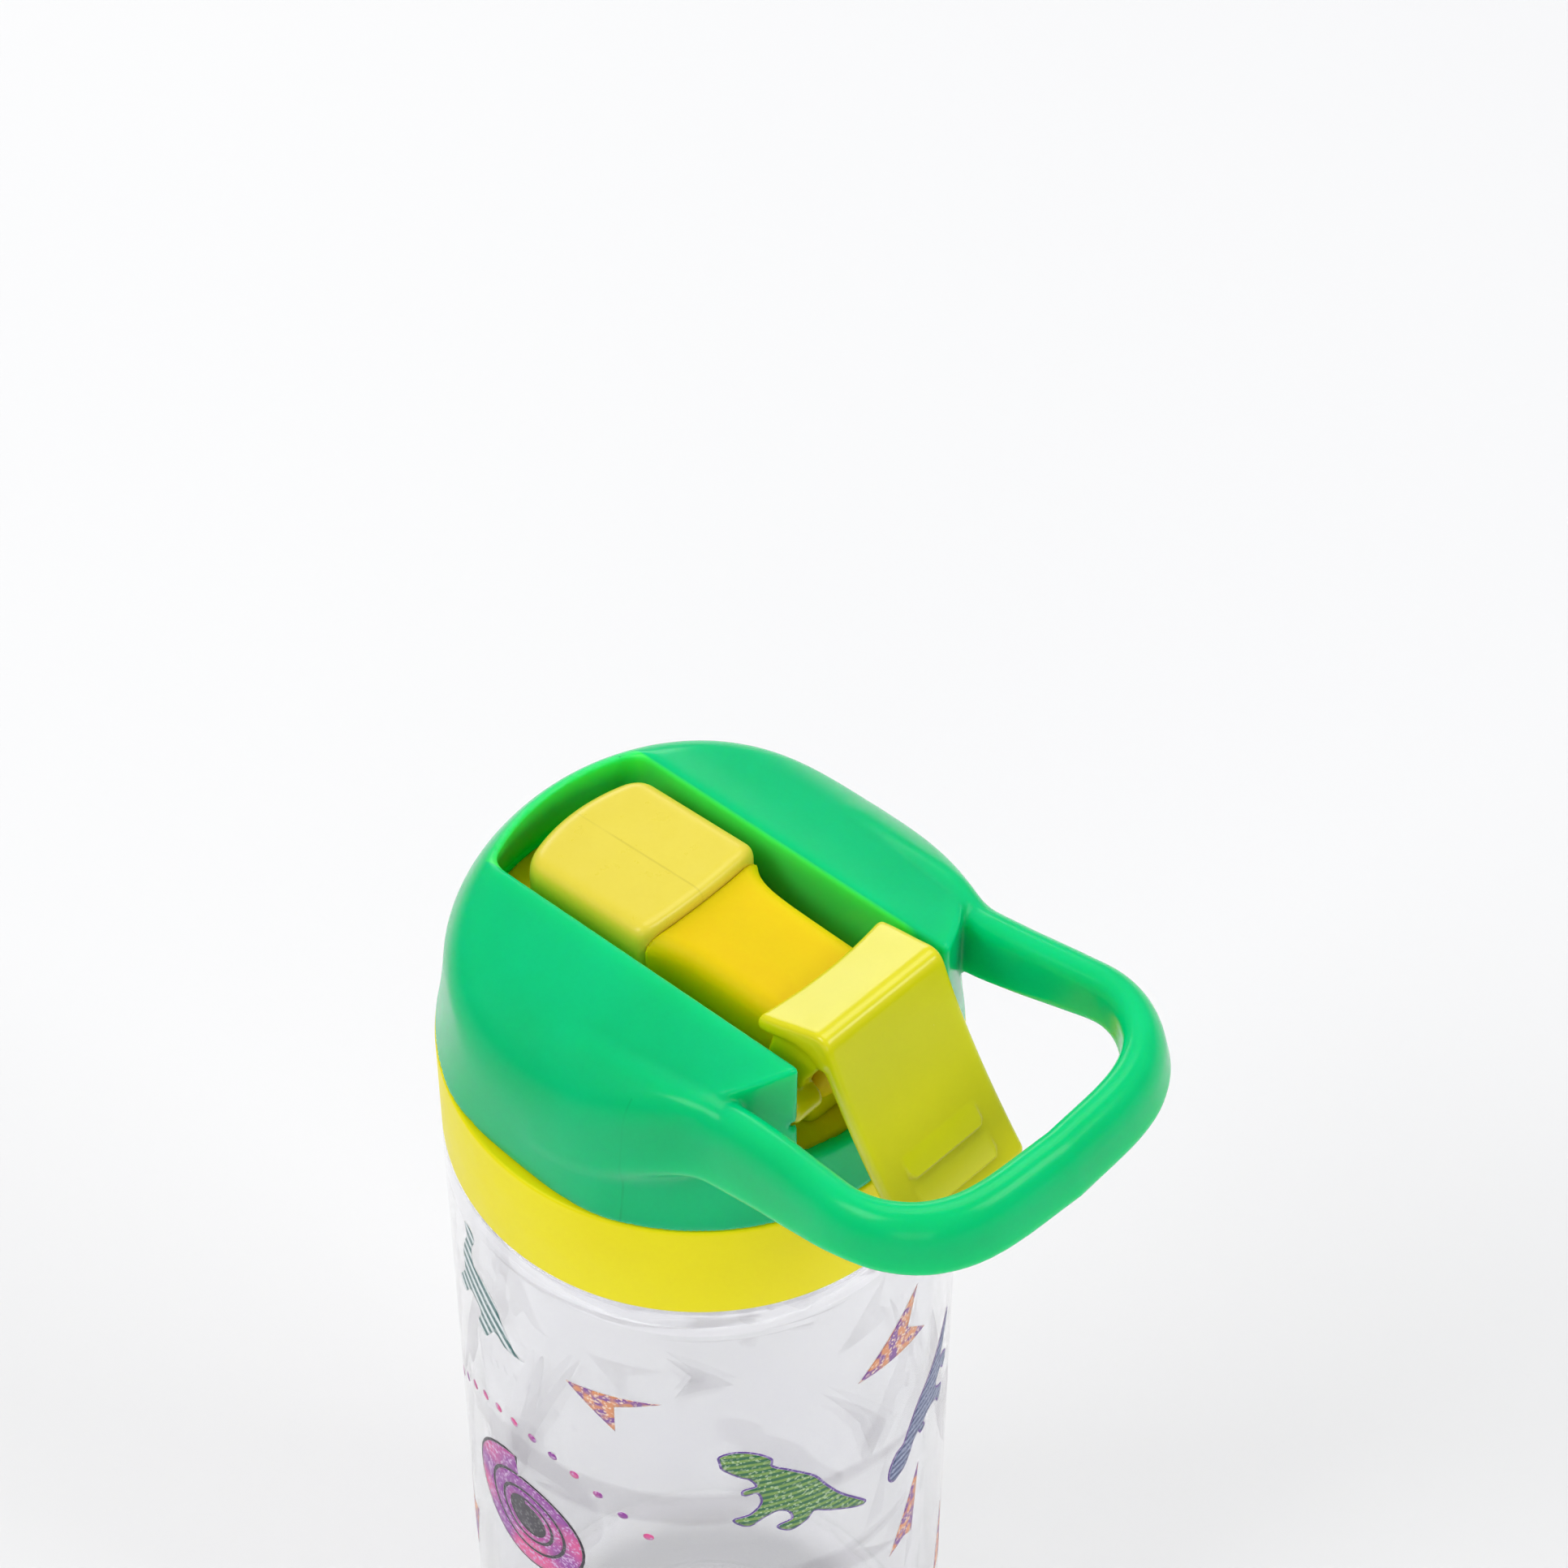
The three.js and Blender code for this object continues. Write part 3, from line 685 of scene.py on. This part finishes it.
def make_boss(material):
    def field(x, y, z):
        block = smooth_max(np.abs(x - BOSS_X) - 6.2, np.abs(y) - 7.8, 2.0)
        block = smooth_max(block, np.abs(z - 30.4) - 2.5, 0.6)
        bore = np.hypot(x - BOSS_X, y) - SOCKET_R
        return smooth_max(block, -bore, 0.6)

    points, quads = implicit(field, (15, -9, 27), (30, 9, 34), 0.4)
    return place(mesh_object("spout_socket", points, quads, material), "lid", "yellow_collar")


def make_seal(material):
    low, high = SEAL_LOW.z - DATUM, SEAL_HIGH.z - DATUM
    corners = [(NECK_BORE, low, 0.3), (32.3, low, 0.4), (32.3, high, 0.4), (NECK_BORE, high, 0.3)]
    points, quads = lathe(rounded(corners, 5), 256)
    return place(mesh_object("sealing_ring", points, quads, material), "seal", "seal_silicone", "lid_seal")


def make_vent(material):
    corners = [
        (0.02, FLOOR_Z - 3.8, 0), (2, FLOOR_Z - 3.8, 0.3), (4.2, FLOOR_Z - 3.2, 0.2),
        (4.2, FLOOR_Z - 2.7, 0.2), (1.8, FLOOR_Z - 2.7, 0.1), (1.8, FLOOR_Z + 0.3, 0.1),
        (2.6, FLOOR_Z + 0.3, 0.2), (2.6, FLOOR_Z + 1.2, 0.3), (1.2, FLOOR_Z + 2.6, 0.3),
        (0.02, FLOOR_Z + 2.6, 0),
    ]
    points, quads = lathe(rounded(corners, 5), 64, VENT_AT)
    return place(mesh_object("air_valve", points, quads, material), "lid", "seal_silicone", "vent_valve")


def body_radius(z):
    """The bottle's outer radius at a height above the collar's lower edge."""
    return BODY_R + BODY_DRAFT * z


def make_body(material):
    base = body_radius(-DATUM)
    foot = -DATUM
    corners = [
        (0.02, foot, 0), (19, foot, 0.5), (19.8, foot + 0.8, 0.4), (21.2, foot + 0.8, 0.4),
        (22, foot, 0.5), (base, foot, 4.5), (BODY_R, -1.0, 0), (BODY_R, 0.0, 1.0),
        (NECK_R, 0.0, 0.6), (NECK_R, NECK_TOP, 0.8), (NECK_BORE, NECK_TOP, 0.6),
        (NECK_BORE, -2, 3.5), (BODY_R - BODY_WALL, -6.5, 4), (base - BODY_WALL, foot + 3.6, 6),
        (0.02, foot + 3.6, 0),
    ]
    profile = finer_wall(rounded(corners, 9), NECK_R)
    long = []
    for a, b in zip(profile, profile[1:]):
        long += stretch(a, b, 6)
    long.append(tuple(profile[-1]))
    points, quads = lathe(long, 360)
    points = thread_ridge(points, NECK_R, NECK_CREST, 2.2, THREAD_TURNS)
    body = mesh_object("clear_bottle", points, quads, material)
    return place(body, "bottle", "clear_body", "bottle_body")


# ---------------------------------------------------------------- printed decoration

INK_GAP = 0.02
INK_T = 0.05
BORDER = 0.38                  # how far a print's dark edge reaches past its figure
SHELL_ANGLE = -91
SHELL_PRINT_Z = -66
ARC_ANGLE = -92                # the row of dots rises to its top here and falls away on both sides
ARC_TOP = -43.5
ARC_FALL = 0.0108
DOT_R = 0.8


def around(points):
    """A closed smooth outline through a few points."""
    steps = 10
    points = np.asarray(points, float)
    ring = np.concatenate([points[-2:], points, points[:2]])
    return spline(ring, steps)[2 * steps:-2 * steps - 1]


def long_neck():
    """A generic long-necked dinosaur walking to the left."""
    return around([
        (-10.6, 8.6), (-9.0, 10.0), (-7.2, 9.0), (-6.6, 5.6), (-4.6, 2.6), (-1.4, 3.2), (2.2, 2.6),
        (5.4, 0.4), (9.4, -1.8), (11.4, -1.4), (8.2, -4.0), (5.4, -4.2), (5.0, -9.0), (2.6, -9.2),
        (1.6, -5.4), (-1.8, -5.4), (-2.4, -9.2), (-4.8, -9.0), (-5.0, -4.0), (-7.4, 0.4),
        (-8.4, 4.6), (-8.8, 7.0),
    ])


def two_legged():
    """A generic two-legged dinosaur facing left, with its back and tail level."""
    return around([
        (-16.4, 0.6), (-15.6, 2.8), (-13.0, 4.2), (-10.0, 4.4), (-8.4, 3.2), (-5.0, 3.6), (0.0, 3.8),
        (4.5, 2.6), (9.0, 1.6), (16.5, 0.6), (10.0, -1.2), (6.6, -2.0), (6.8, -4.2), (6.0, -6.6),
        (3.6, -6.8), (4.4, -4.6), (2.4, -3.4), (0.4, -4.0), (-0.4, -6.2), (-0.8, -8.8),
        (-3.4, -9.0), (-2.4, -6.6), (-3.2, -3.6), (-5.6, -2.2), (-6.8, -3.6), (-7.6, -3.0),
        (-6.8, -1.2), (-9.0, -0.4), (-11.0, -0.8), (-14.6, -0.8),
    ])


def footprint():
    """A three-toed footprint with pointed claws."""
    half = [
        (0, -9.5), (2.2, -8.8), (3.4, -6.2), (3.9, -2.8), (6.4, 0.4), (9.4, 5.6), (9.9, 8.2),
        (7.6, 6.4), (4.2, 2.6), (2.4, 1.2), (2.1, 5.2), (1.3, 9.6), (0, 12.4),
    ]
    return around(half + [(-u, v) for u, v in half[-2:0:-1]])


def disc(radius):
    turn = np.linspace(0, 2 * math.pi, 40, endpoint=False)
    return np.stack([np.cos(turn), np.sin(turn)], 1) * radius


def spiral_shell(radius, shrink, line):
    """A coiled band whose whorls shrink by a ratio each turn, with a thin gap between them."""
    turn = np.linspace(0, 3, 110)
    outer = radius * shrink ** turn
    inner = outer * shrink + line
    reach = np.concatenate([outer, inner[::-1]])
    angle = 2 * math.pi * np.concatenate([turn, turn[::-1]])
    return np.stack([reach * np.cos(angle), reach * np.sin(angle)], 1)


def widened(outline, reach):
    """The outline moved outwards by reach."""
    ahead = np.roll(outline, -1, 0) - np.roll(outline, 1, 0)
    normal = np.stack([ahead[:, 1], -ahead[:, 0]], 1)
    normal /= np.maximum(np.linalg.norm(normal, axis=1), 1e-9)[:, None]
    turned_left = (outline[:, 0] * np.roll(outline[:, 1], -1)).sum()
    turned_left -= (outline[:, 1] * np.roll(outline[:, 0], -1)).sum()
    return outline + normal * reach * np.sign(turned_left)


def printed(name, outline, angle, z, tilt, scale, material, backing, layer=0):
    """A thin printed shape wrapped on the bottle's wall, centred at an angle and height."""
    c, s = math.cos(math.radians(tilt)) * scale, math.sin(math.radians(tilt)) * scale
    flat = np.stack([c * outline[:, 0] - s * outline[:, 1], s * outline[:, 0] + c * outline[:, 1]], 1)
    border = []
    for a, b in zip(flat, np.roll(flat, -1, 0)):
        border += stretch(a, b, 0.6)
    border = np.array(border)
    step = 0.7
    grid = np.stack(np.meshgrid(
        np.arange(flat[:, 0].min(), flat[:, 0].max(), step),
        np.arange(flat[:, 1].min(), flat[:, 1].max(), step), indexing="ij",
    ), 2).reshape(-1, 2)
    grid = grid[polygon_field(grid[:, 0], grid[:, 1], flat) < -0.35]
    seeds = [Vector(p) for p in np.concatenate([border, grid])]
    edges = [(k, (k + 1) % len(border)) for k in range(len(border))]
    points, _, faces, *_ = delaunay_2d_cdt(seeds, edges, [], 1, 1e-6)
    points = np.array([tuple(p) for p in points])
    faces = [f for f in faces if len(f) == 3]
    count = len(points)
    outer_edges = {}
    for face in faces:
        for a, b in zip(face, face[1:] + face[:1]):
            outer_edges[(a, b)] = True
    rim = [(a, b) for a, b in outer_edges if (b, a) not in outer_edges]
    triangles = [tuple(f) for f in faces] + [tuple(count + k for k in reversed(f)) for f in faces]
    for a, b in rim:
        triangles += [(b, a, count + a), (b, count + a, count + b)]
    lift = INK_GAP + layer * (INK_T + INK_GAP)
    wrapped = []
    for depth in (lift + INK_T, lift):
        height = z + points[:, 1]
        radius = body_radius(height) + depth
        theta = math.radians(angle) + points[:, 0] / BODY_R
        wrapped.append(np.stack([radius * np.cos(theta), radius * np.sin(theta), height], 1))
    piece = mesh_object(name, np.concatenate(wrapped), triangles, material)
    piece.data.materials.append(backing)
    for polygon in piece.data.polygons[len(faces):]:
        polygon.material_index = 1
    return place(piece, "bottle", "clear_body")


def make_prints(inks):
    """The bottle's prints: dinosaurs, darts and footprints scattered all the way round."""
    animals = [
        ("green", two_legged(), -24, -47, -46, 1.0, "green_stripe", "purple"),
        ("teal", long_neck(), -103, -19, -30, 0.95, "teal_stripe", None),
        ("grey", two_legged(), 18, -48, 56, 0.85, "grey_stripe", "purple"),
        ("far_green", two_legged(), 84, -38, 8, 0.8, "green_stripe", "purple"),
        ("far_teal", long_neck(), 150, -44, 12, 1.0, "teal_stripe", None),
        ("far_grey", long_neck(), -152, -62, -10, 1.0, "grey_stripe", "purple"),
        ("low_track", footprint(), 58, -78, -20, 1.1, "berry", "purple"),
        ("low_green", two_legged(), 128, -92, -6, 0.8, "green_stripe", "purple"),
        ("low_teal", long_neck(), -58, -98, 10, 1.0, "teal_stripe", None),
        ("low_far_track", footprint(), -166, -104, 24, 1.1, "berry", "purple"),
        ("low_front_green", two_legged(), -6, -108, 14, 0.8, "green_stripe", "purple"),
    ]
    back = inks["white"]
    for name, outline, angle, z, tilt, scale, ink, border in animals:
        if border:
            edge = widened(outline, BORDER / scale)
            printed(f"print_{name}_edge", edge, angle, z, tilt, scale, inks[border], back)
            printed(f"print_{name}", outline, angle, z, tilt, scale, inks[ink], back, layer=1)
        else:
            printed(f"print_{name}", outline, angle, z, tilt, scale, inks[ink], back)
    long_dart = np.array([(-7.5, 2), (6.9, 3), (0, 0), (0, -6)])
    tall_dart = np.array([(-9.4, -4), (2.5, 8), (0.4, 0), (5, -5)])
    thin_dart = np.array([(3.8, 10), (-3.1, -7), (0.3, -5.4), (2.5, -6.5)])
    darts = [
        (-65, -25, 0, long_dart), (7, -23, 0, tall_dart), (9, -72, 0, thin_dart),
        (140, -114, 30, long_dart), (52, -30, 90, tall_dart), (116, -62, 200, long_dart),
        (-176, -26, -40, long_dart), (-128, -90, 80, tall_dart), (32, -100, 10, thin_dart),
        (-34, -80, 200, thin_dart), (90, -112, -70, tall_dart), (-100, -118, 20, long_dart),
    ]
    for k, (angle, z, tilt, outline) in enumerate(darts):
        printed(f"print_dart_{k + 1}", outline, angle, z, tilt, 1.0, inks["dart"], back)
    coil = spiral_shell(13.6, 0.66, 0.6)
    whorl = widened(coil[:38], 0.5)
    at = (SHELL_ANGLE, SHELL_PRINT_Z, 100, 1.0)
    printed("print_shell_ground", whorl, *at, inks["black"], back)
    printed("print_shell", coil, *at, inks["berry"], back, layer=1)
    for k in range(12):
        angle = -124 + 6 * k
        z = ARC_TOP - ARC_FALL * (angle - ARC_ANGLE) ** 2
        printed(f"print_dot_{k + 1}", disc(DOT_R), angle, z, 0, 1.0, inks["berry"], back)


# ---------------------------------------------------------------- materials

class Paint:
    """A material's node tree, with short ways to add the nodes that the plastics share."""

    def __init__(self, name):
        self.material = bpy.data.materials.new(name)
        self.material.use_nodes = True
        self.tree = self.material.node_tree
        self.shader = self.tree.nodes["Principled BSDF"]
        self.place = self.add("ShaderNodeTexCoord").outputs["Object"]

    def add(self, kind, inputs=None, **settings):
        node = self.tree.nodes.new(kind)
        for key, value in settings.items():
            setattr(node, key, value)
        for key, value in (inputs or {}).items():
            self.put(node, key, value)
        return node

    def put(self, node, key, value):
        if isinstance(value, bpy.types.NodeSocket):
            self.tree.links.new(value, node.inputs[key])
        else:
            node.inputs[key].default_value = value

    def noise(self, scale, detail=2.0, roughness=0.5):
        node = self.add("ShaderNodeTexNoise", {
            "Vector": self.place, "Scale": scale, "Detail": detail, "Roughness": roughness,
        })
        return node.outputs["Fac"]

    def math(self, operation, a, b=0.0):
        return self.add("ShaderNodeMath", {0: a, 1: b}, operation=operation).outputs[0]

    def spread(self, value, low, high, to_low, to_high):
        node = self.add("ShaderNodeMapRange", {
            "Value": value, "From Min": low, "From Max": high, "To Min": to_low, "To Max": to_high,
        })
        return node.outputs["Result"]

    def mix(self, share, a, b):
        node = self.add("ShaderNodeMix", {0: share, 6: a, 7: b}, data_type="RGBA")
        return node.outputs[2]

    def bump(self, height, distance, strength=1.0, under=None):
        node = self.add("ShaderNodeBump", {"Height": height, "Distance": distance, "Strength": strength})
        if under:
            self.put(node, "Normal", under)
        return node.outputs["Normal"]

    def axis(self, letter):
        return self.add("ShaderNodeSeparateXYZ", {0: self.place}).outputs[letter]


def colour(red, green, blue):
    """A linear colour from the 0 to 255 values that a screen shows."""
    def linear(value):
        value /= 255
        return value / 12.92 if value <= 0.04045 else ((value + 0.055) / 1.055) ** 2.4
    return linear(red), linear(green), linear(blue), 1.0


def moulded(name, light, dark, roughness, gloss, subsurface, depth=(0.004, 0.004, 0.002), ripple=1.0):
    """Moulded plastic: slow colour drift, fine grain, roughness that varies and a faint ripple."""
    paint = Paint(name)
    broad = paint.noise(55, 3.0)
    grain = paint.noise(1400, 3.0, 0.6)
    drift = paint.spread(broad, 0.3, 0.7, 0.0, 0.8)
    share = paint.math("ADD", drift, paint.spread(grain, 0.3, 0.7, 0.0, 0.2))
    base = paint.mix(share, dark, light)
    scuff = paint.spread(paint.noise(260, 5.0, 0.65), 0.35, 0.75, -0.03, 0.06)
    ripples = paint.bump(paint.noise(120, 1.0), 0.00012 * ripple)
    skin = paint.bump(grain, 0.000012, 0.8, ripples)
    paint.put(paint.shader, "Base Color", base)
    paint.put(paint.shader, "Roughness", paint.math("ADD", scuff, roughness))
    paint.put(paint.shader, "Normal", skin)
    paint.shader.inputs["IOR"].default_value = 1.49
    paint.shader.inputs["Specular IOR Level"].default_value = gloss
    paint.shader.inputs["Subsurface Weight"].default_value = subsurface
    paint.shader.inputs["Subsurface Radius"].default_value = depth
    paint.shader.inputs["Subsurface Scale"].default_value = 1.0
    return paint


def mould_line(paint, base_dark, letter, at, beyond_y=-1.0):
    """A fine broken parting line where one coordinate takes a value, further out in Y than a limit."""
    half = 0.00009
    away = paint.math("ABSOLUTE", paint.math("SUBTRACT", paint.axis(letter), at))
    line = paint.spread(away, half, half * 2.2, 1.0, 0.0)
    out = paint.math("GREATER_THAN", paint.math("ABSOLUTE", paint.axis("Y")), beyond_y)
    line = paint.math("MULTIPLY", line, out)
    broken = paint.spread(paint.noise(90, 1.0), 0.42, 0.52, 0.25, 1.0)
    mark = paint.math("MULTIPLY", line, broken)
    base = paint.shader.inputs["Base Color"].links[0].from_socket
    darker = tuple(0.8 * c for c in base_dark[:3]) + (1.0,)
    paint.put(paint.shader, "Base Color", paint.mix(paint.math("MULTIPLY", mark, 0.6), base, darker))


def slot_glow(paint, half, bright):
    """Light coming through the slot's thin walls lifts their colour."""
    across = paint.math("ABSOLUTE", paint.axis("Y"))
    between = paint.spread(across, half + 0.0001, half + 0.0004, 1.0, 0.0)
    reach = paint.math("SQRT", paint.math(
        "ADD", paint.math("POWER", paint.axis("X"), 2.0), paint.math("POWER", across, 2.0)
    ))
    inside = paint.math("MULTIPLY", between, paint.spread(reach, 0.0283, 0.0305, 1.0, 0.0))
    base = paint.shader.inputs["Base Color"].links[0].from_socket
    paint.put(paint.shader, "Base Color", paint.mix(paint.math("MULTIPLY", inside, 0.95), base, bright))


def make_clear():
    """Clear drinking-bottle plastic: faint lavender, nearly smooth, with slow ripples in the wall."""
    paint = Paint("clear_plastic")
    light, dark = colour(252, 252, 255), colour(246, 246, 252)
    drift = paint.spread(paint.noise(40, 2.0), 0.3, 0.7, 0.0, 1.0)
    fine = paint.noise(700, 4.0, 0.6)
    paint.put(paint.shader, "Base Color", paint.mix(drift, dark, light))
    paint.put(paint.shader, "Roughness", paint.spread(fine, 0.35, 0.75, 0.02, 0.07))
    paint.put(paint.shader, "Normal", paint.bump(paint.noise(60, 1.0), 0.00015, 0.6))
    paint.shader.inputs["IOR"].default_value = 1.5
    paint.shader.inputs["Transmission Weight"].default_value = 1.0
    paint.shader.inputs["Alpha"].default_value = 0.52
    return paint.material


def ink(name, first, second, glitter=0.0, stripes=None, gradient=None, direction="Z"):
    """Printed ink: specks of glitter over a colour that may run into a second one or be striped."""
    paint = Paint(name)
    if stripes:
        wave = paint.add("ShaderNodeTexWave", {
            "Vector": paint.place, "Scale": stripes, "Distortion": 0.4, "Detail": 1.0, "Detail Scale": 2.0,
        }, bands_direction=direction)
        share = paint.spread(wave.outputs["Fac"], 0.45, 0.6, 0.0, 1.0)
    elif gradient:
        share = paint.spread(paint.noise(gradient, 0.0), 0.42, 0.58, 0.0, 1.0)
    else:
        share = paint.spread(paint.noise(300, 2.0), 0.3, 0.7, 0.0, 1.0)
    base = paint.mix(share, first, second)
    cells = paint.add("ShaderNodeTexVoronoi", {"Vector": paint.place, "Scale": 2600.0})
    sparkle = paint.spread(paint.add("ShaderNodeSeparateColor", {0: cells.outputs["Color"]}).outputs[0],
                           0.72, 0.9, 0.0, glitter)
    bright = tuple(min(1.0, 0.45 + c) for c in second[:3]) + (1.0,)
    paint.put(paint.shader, "Base Color", paint.mix(sparkle, base, bright))
    paint.put(paint.shader, "Roughness", paint.spread(sparkle, 0.0, 1.0, 0.38, 0.18))
    paint.put(paint.shader, "Normal", paint.bump(cells.outputs["Distance"], 0.00002, 0.5))
    return paint.material


def make_inks():
    return {
        "white": ink("ink_white", colour(236, 230, 236), colour(246, 240, 244), 0.1),
        "dart": ink("ink_dart", colour(136, 84, 160), colour(226, 150, 104), 0.9, gradient=600),
        "purple": ink("ink_purple", colour(96, 70, 150), colour(120, 84, 170), 0.5),
        "black": ink("ink_black", colour(34, 28, 40), colour(48, 40, 58), 0.2),
        "berry": ink("ink_berry", colour(226, 84, 150), colour(150, 60, 160), 0.8, gradient=90),
        "green_stripe": ink("ink_green", colour(30, 104, 66), colour(120, 160, 70), 0.5, stripes=230),
        "teal_stripe": ink("ink_teal", colour(46, 106, 106), colour(226, 234, 236), 0.2, stripes=230,
                           direction="DIAGONAL"),
        "grey_stripe": ink("ink_grey", colour(62, 74, 122), colour(130, 142, 176), 0.3, stripes=230),
    }


def make_materials():
    green_light, green_dark = colour(0, 196, 124), colour(0, 186, 112)
    green = moulded("green_plastic", green_light, green_dark, 0.21, 0.16, 0.8, (0.001, 0.010, 0.004), 0.3)
    slot_glow(green, CHANNEL_HALF * MM, colour(70, 252, 90))
    mould_line(green, green_dark, "X", 0.017, 0.029)
    yellow = moulded("yellow_plastic", colour(250, 236, 6), colour(244, 228, 2), 0.36, 0.14, 0.2)
    lime_light, lime_dark = colour(216, 208, 2), colour(208, 202, 0)
    lime = moulded("lime_plastic", lime_light, lime_dark, 0.22, 0.5, 0.5, (0.004, 0.004, 0.001), 0.15)
    pale_dark = colour(214, 196, 52)
    pale = moulded("pale_plastic", colour(222, 206, 66), pale_dark, 0.3, 0.4, 0.2, ripple=0.3)
    mould_line(pale, pale_dark, "Y", 0.0)
    golden = moulded("golden_silicone", colour(226, 196, 0), colour(220, 186, 0), 0.5, 0.12, 0.8,
                     (0.006, 0.005, 0.001), 0.3)
    white = moulded("white_silicone", colour(240, 240, 236), colour(230, 230, 226), 0.55, 0.4, 0.3)
    return {
        "green": green.material, "yellow": yellow.material, "lime": lime.material,
        "pale": pale.material, "golden": golden.material, "white": white.material,
        "clear": make_clear(),
    }


# ---------------------------------------------------------------- studio

def make_floor():
    """A plain pale floor that runs far past the view."""
    half = 6.0
    paint = Paint("studio_floor")
    tone = paint.spread(paint.noise(2, 2.0), 0.3, 0.7, 0.0, 1.0)
    paint.put(paint.shader, "Base Color", paint.mix(tone, colour(232, 232, 233), colour(234, 234, 234)))
    paint.shader.inputs["Roughness"].default_value = 0.9
    paint.shader.inputs["Specular IOR Level"].default_value = 0.1
    mesh = bpy.data.meshes.new("floor")
    corners = [(-half, -half, 0), (half, -half, 0), (half, half, 0), (-half, half, 0)]
    mesh.from_pydata(corners, [], [(0, 1, 2, 3)])
    mesh.materials.append(paint.material)
    floor = bpy.data.objects.new("floor", mesh)
    bpy.context.scene.collection.objects.link(floor)


def soft_box(name, azimuth, elevation, distance, width, height, power):
    """A rectangular light aimed at the lid from an azimuth and elevation in degrees."""
    aim = Vector((0, 0, (DATUM + 30) * MM))
    a, e = math.radians(azimuth), math.radians(elevation)
    away = Vector((math.cos(e) * math.cos(a), math.cos(e) * math.sin(a), math.sin(e)))
    data = bpy.data.lights.new(name, "AREA")
    data.shape = "RECTANGLE"
    data.size = width
    data.size_y = height
    data.energy = power
    light = bpy.data.objects.new(name, data)
    light.location = aim + away * distance
    light.rotation_euler = away.to_track_quat("Z", "Y").to_euler()
    bpy.context.scene.collection.objects.link(light)


def make_studio():
    world = bpy.data.worlds.new("studio")
    world.use_nodes = True
    tree = world.node_tree
    background = tree.nodes["Background"]
    place = tree.nodes.new("ShaderNodeTexCoord")
    height = tree.nodes.new("ShaderNodeSeparateXYZ")
    rise = tree.nodes.new("ShaderNodeMapRange")
    rise.inputs["From Min"].default_value = 0.05
    rise.inputs["From Max"].default_value = 0.45
    rise.inputs["To Min"].default_value = 0.26
    rise.inputs["To Max"].default_value = 0.56
    tree.links.new(place.outputs["Generated"], height.inputs[0])
    tree.links.new(height.outputs["Z"], rise.inputs["Value"])
    tree.links.new(rise.outputs["Result"], background.inputs["Strength"])
    background.inputs["Color"].default_value = (0.98, 0.985, 1.0, 1.0)
    bpy.context.scene.world = world
    soft_box("back_softbox", 149, 17, 1.3, 0.7, 0.42, 3)
    soft_box("top_softbox", 120, 70, 1.2, 0.8, 0.8, 5.2)
    soft_box("left_softbox", -110, 46, 1.3, 0.7, 0.5, 5.4)
    soft_box("front_softbox", -50, 8, 1.5, 0.8, 0.4, 2)
    soft_box("right_softbox", 22, 40, 1.4, 0.6, 0.5, 5)
    bpy.context.scene.view_settings.view_transform = "Standard"


def make_camera():
    """The photograph's camera: its place from the collar's lower edge, and its line of sight."""
    level, down = 0.6478, 0.7618
    look = Vector((-0.7034 * level, 0.7108 * level, -down))
    data = bpy.data.cameras.new("camera")
    data.sensor_width = 36.0
    data.lens = 140.84
    data.clip_end = 20
    camera = bpy.data.objects.new("camera", data)
    camera.location = Vector((0.3718, -0.3595, DATUM * MM + 0.6762))
    camera.rotation_euler = look.to_track_quat("-Z", "Y").to_euler()
    bpy.context.scene.collection.objects.link(camera)
    bpy.context.scene.camera = camera


make_camera()
make_studio()
make_floor()
materials = make_materials()
make_body(materials["clear"])
make_collar(materials["yellow"])
make_boss(materials["yellow"])
make_seal(materials["white"])
make_vent(materials["white"])
make_cover(materials["green"])
make_lever(materials["lime"])
make_tip(materials["pale"])
make_neck(materials["golden"])
make_prints(make_inks())
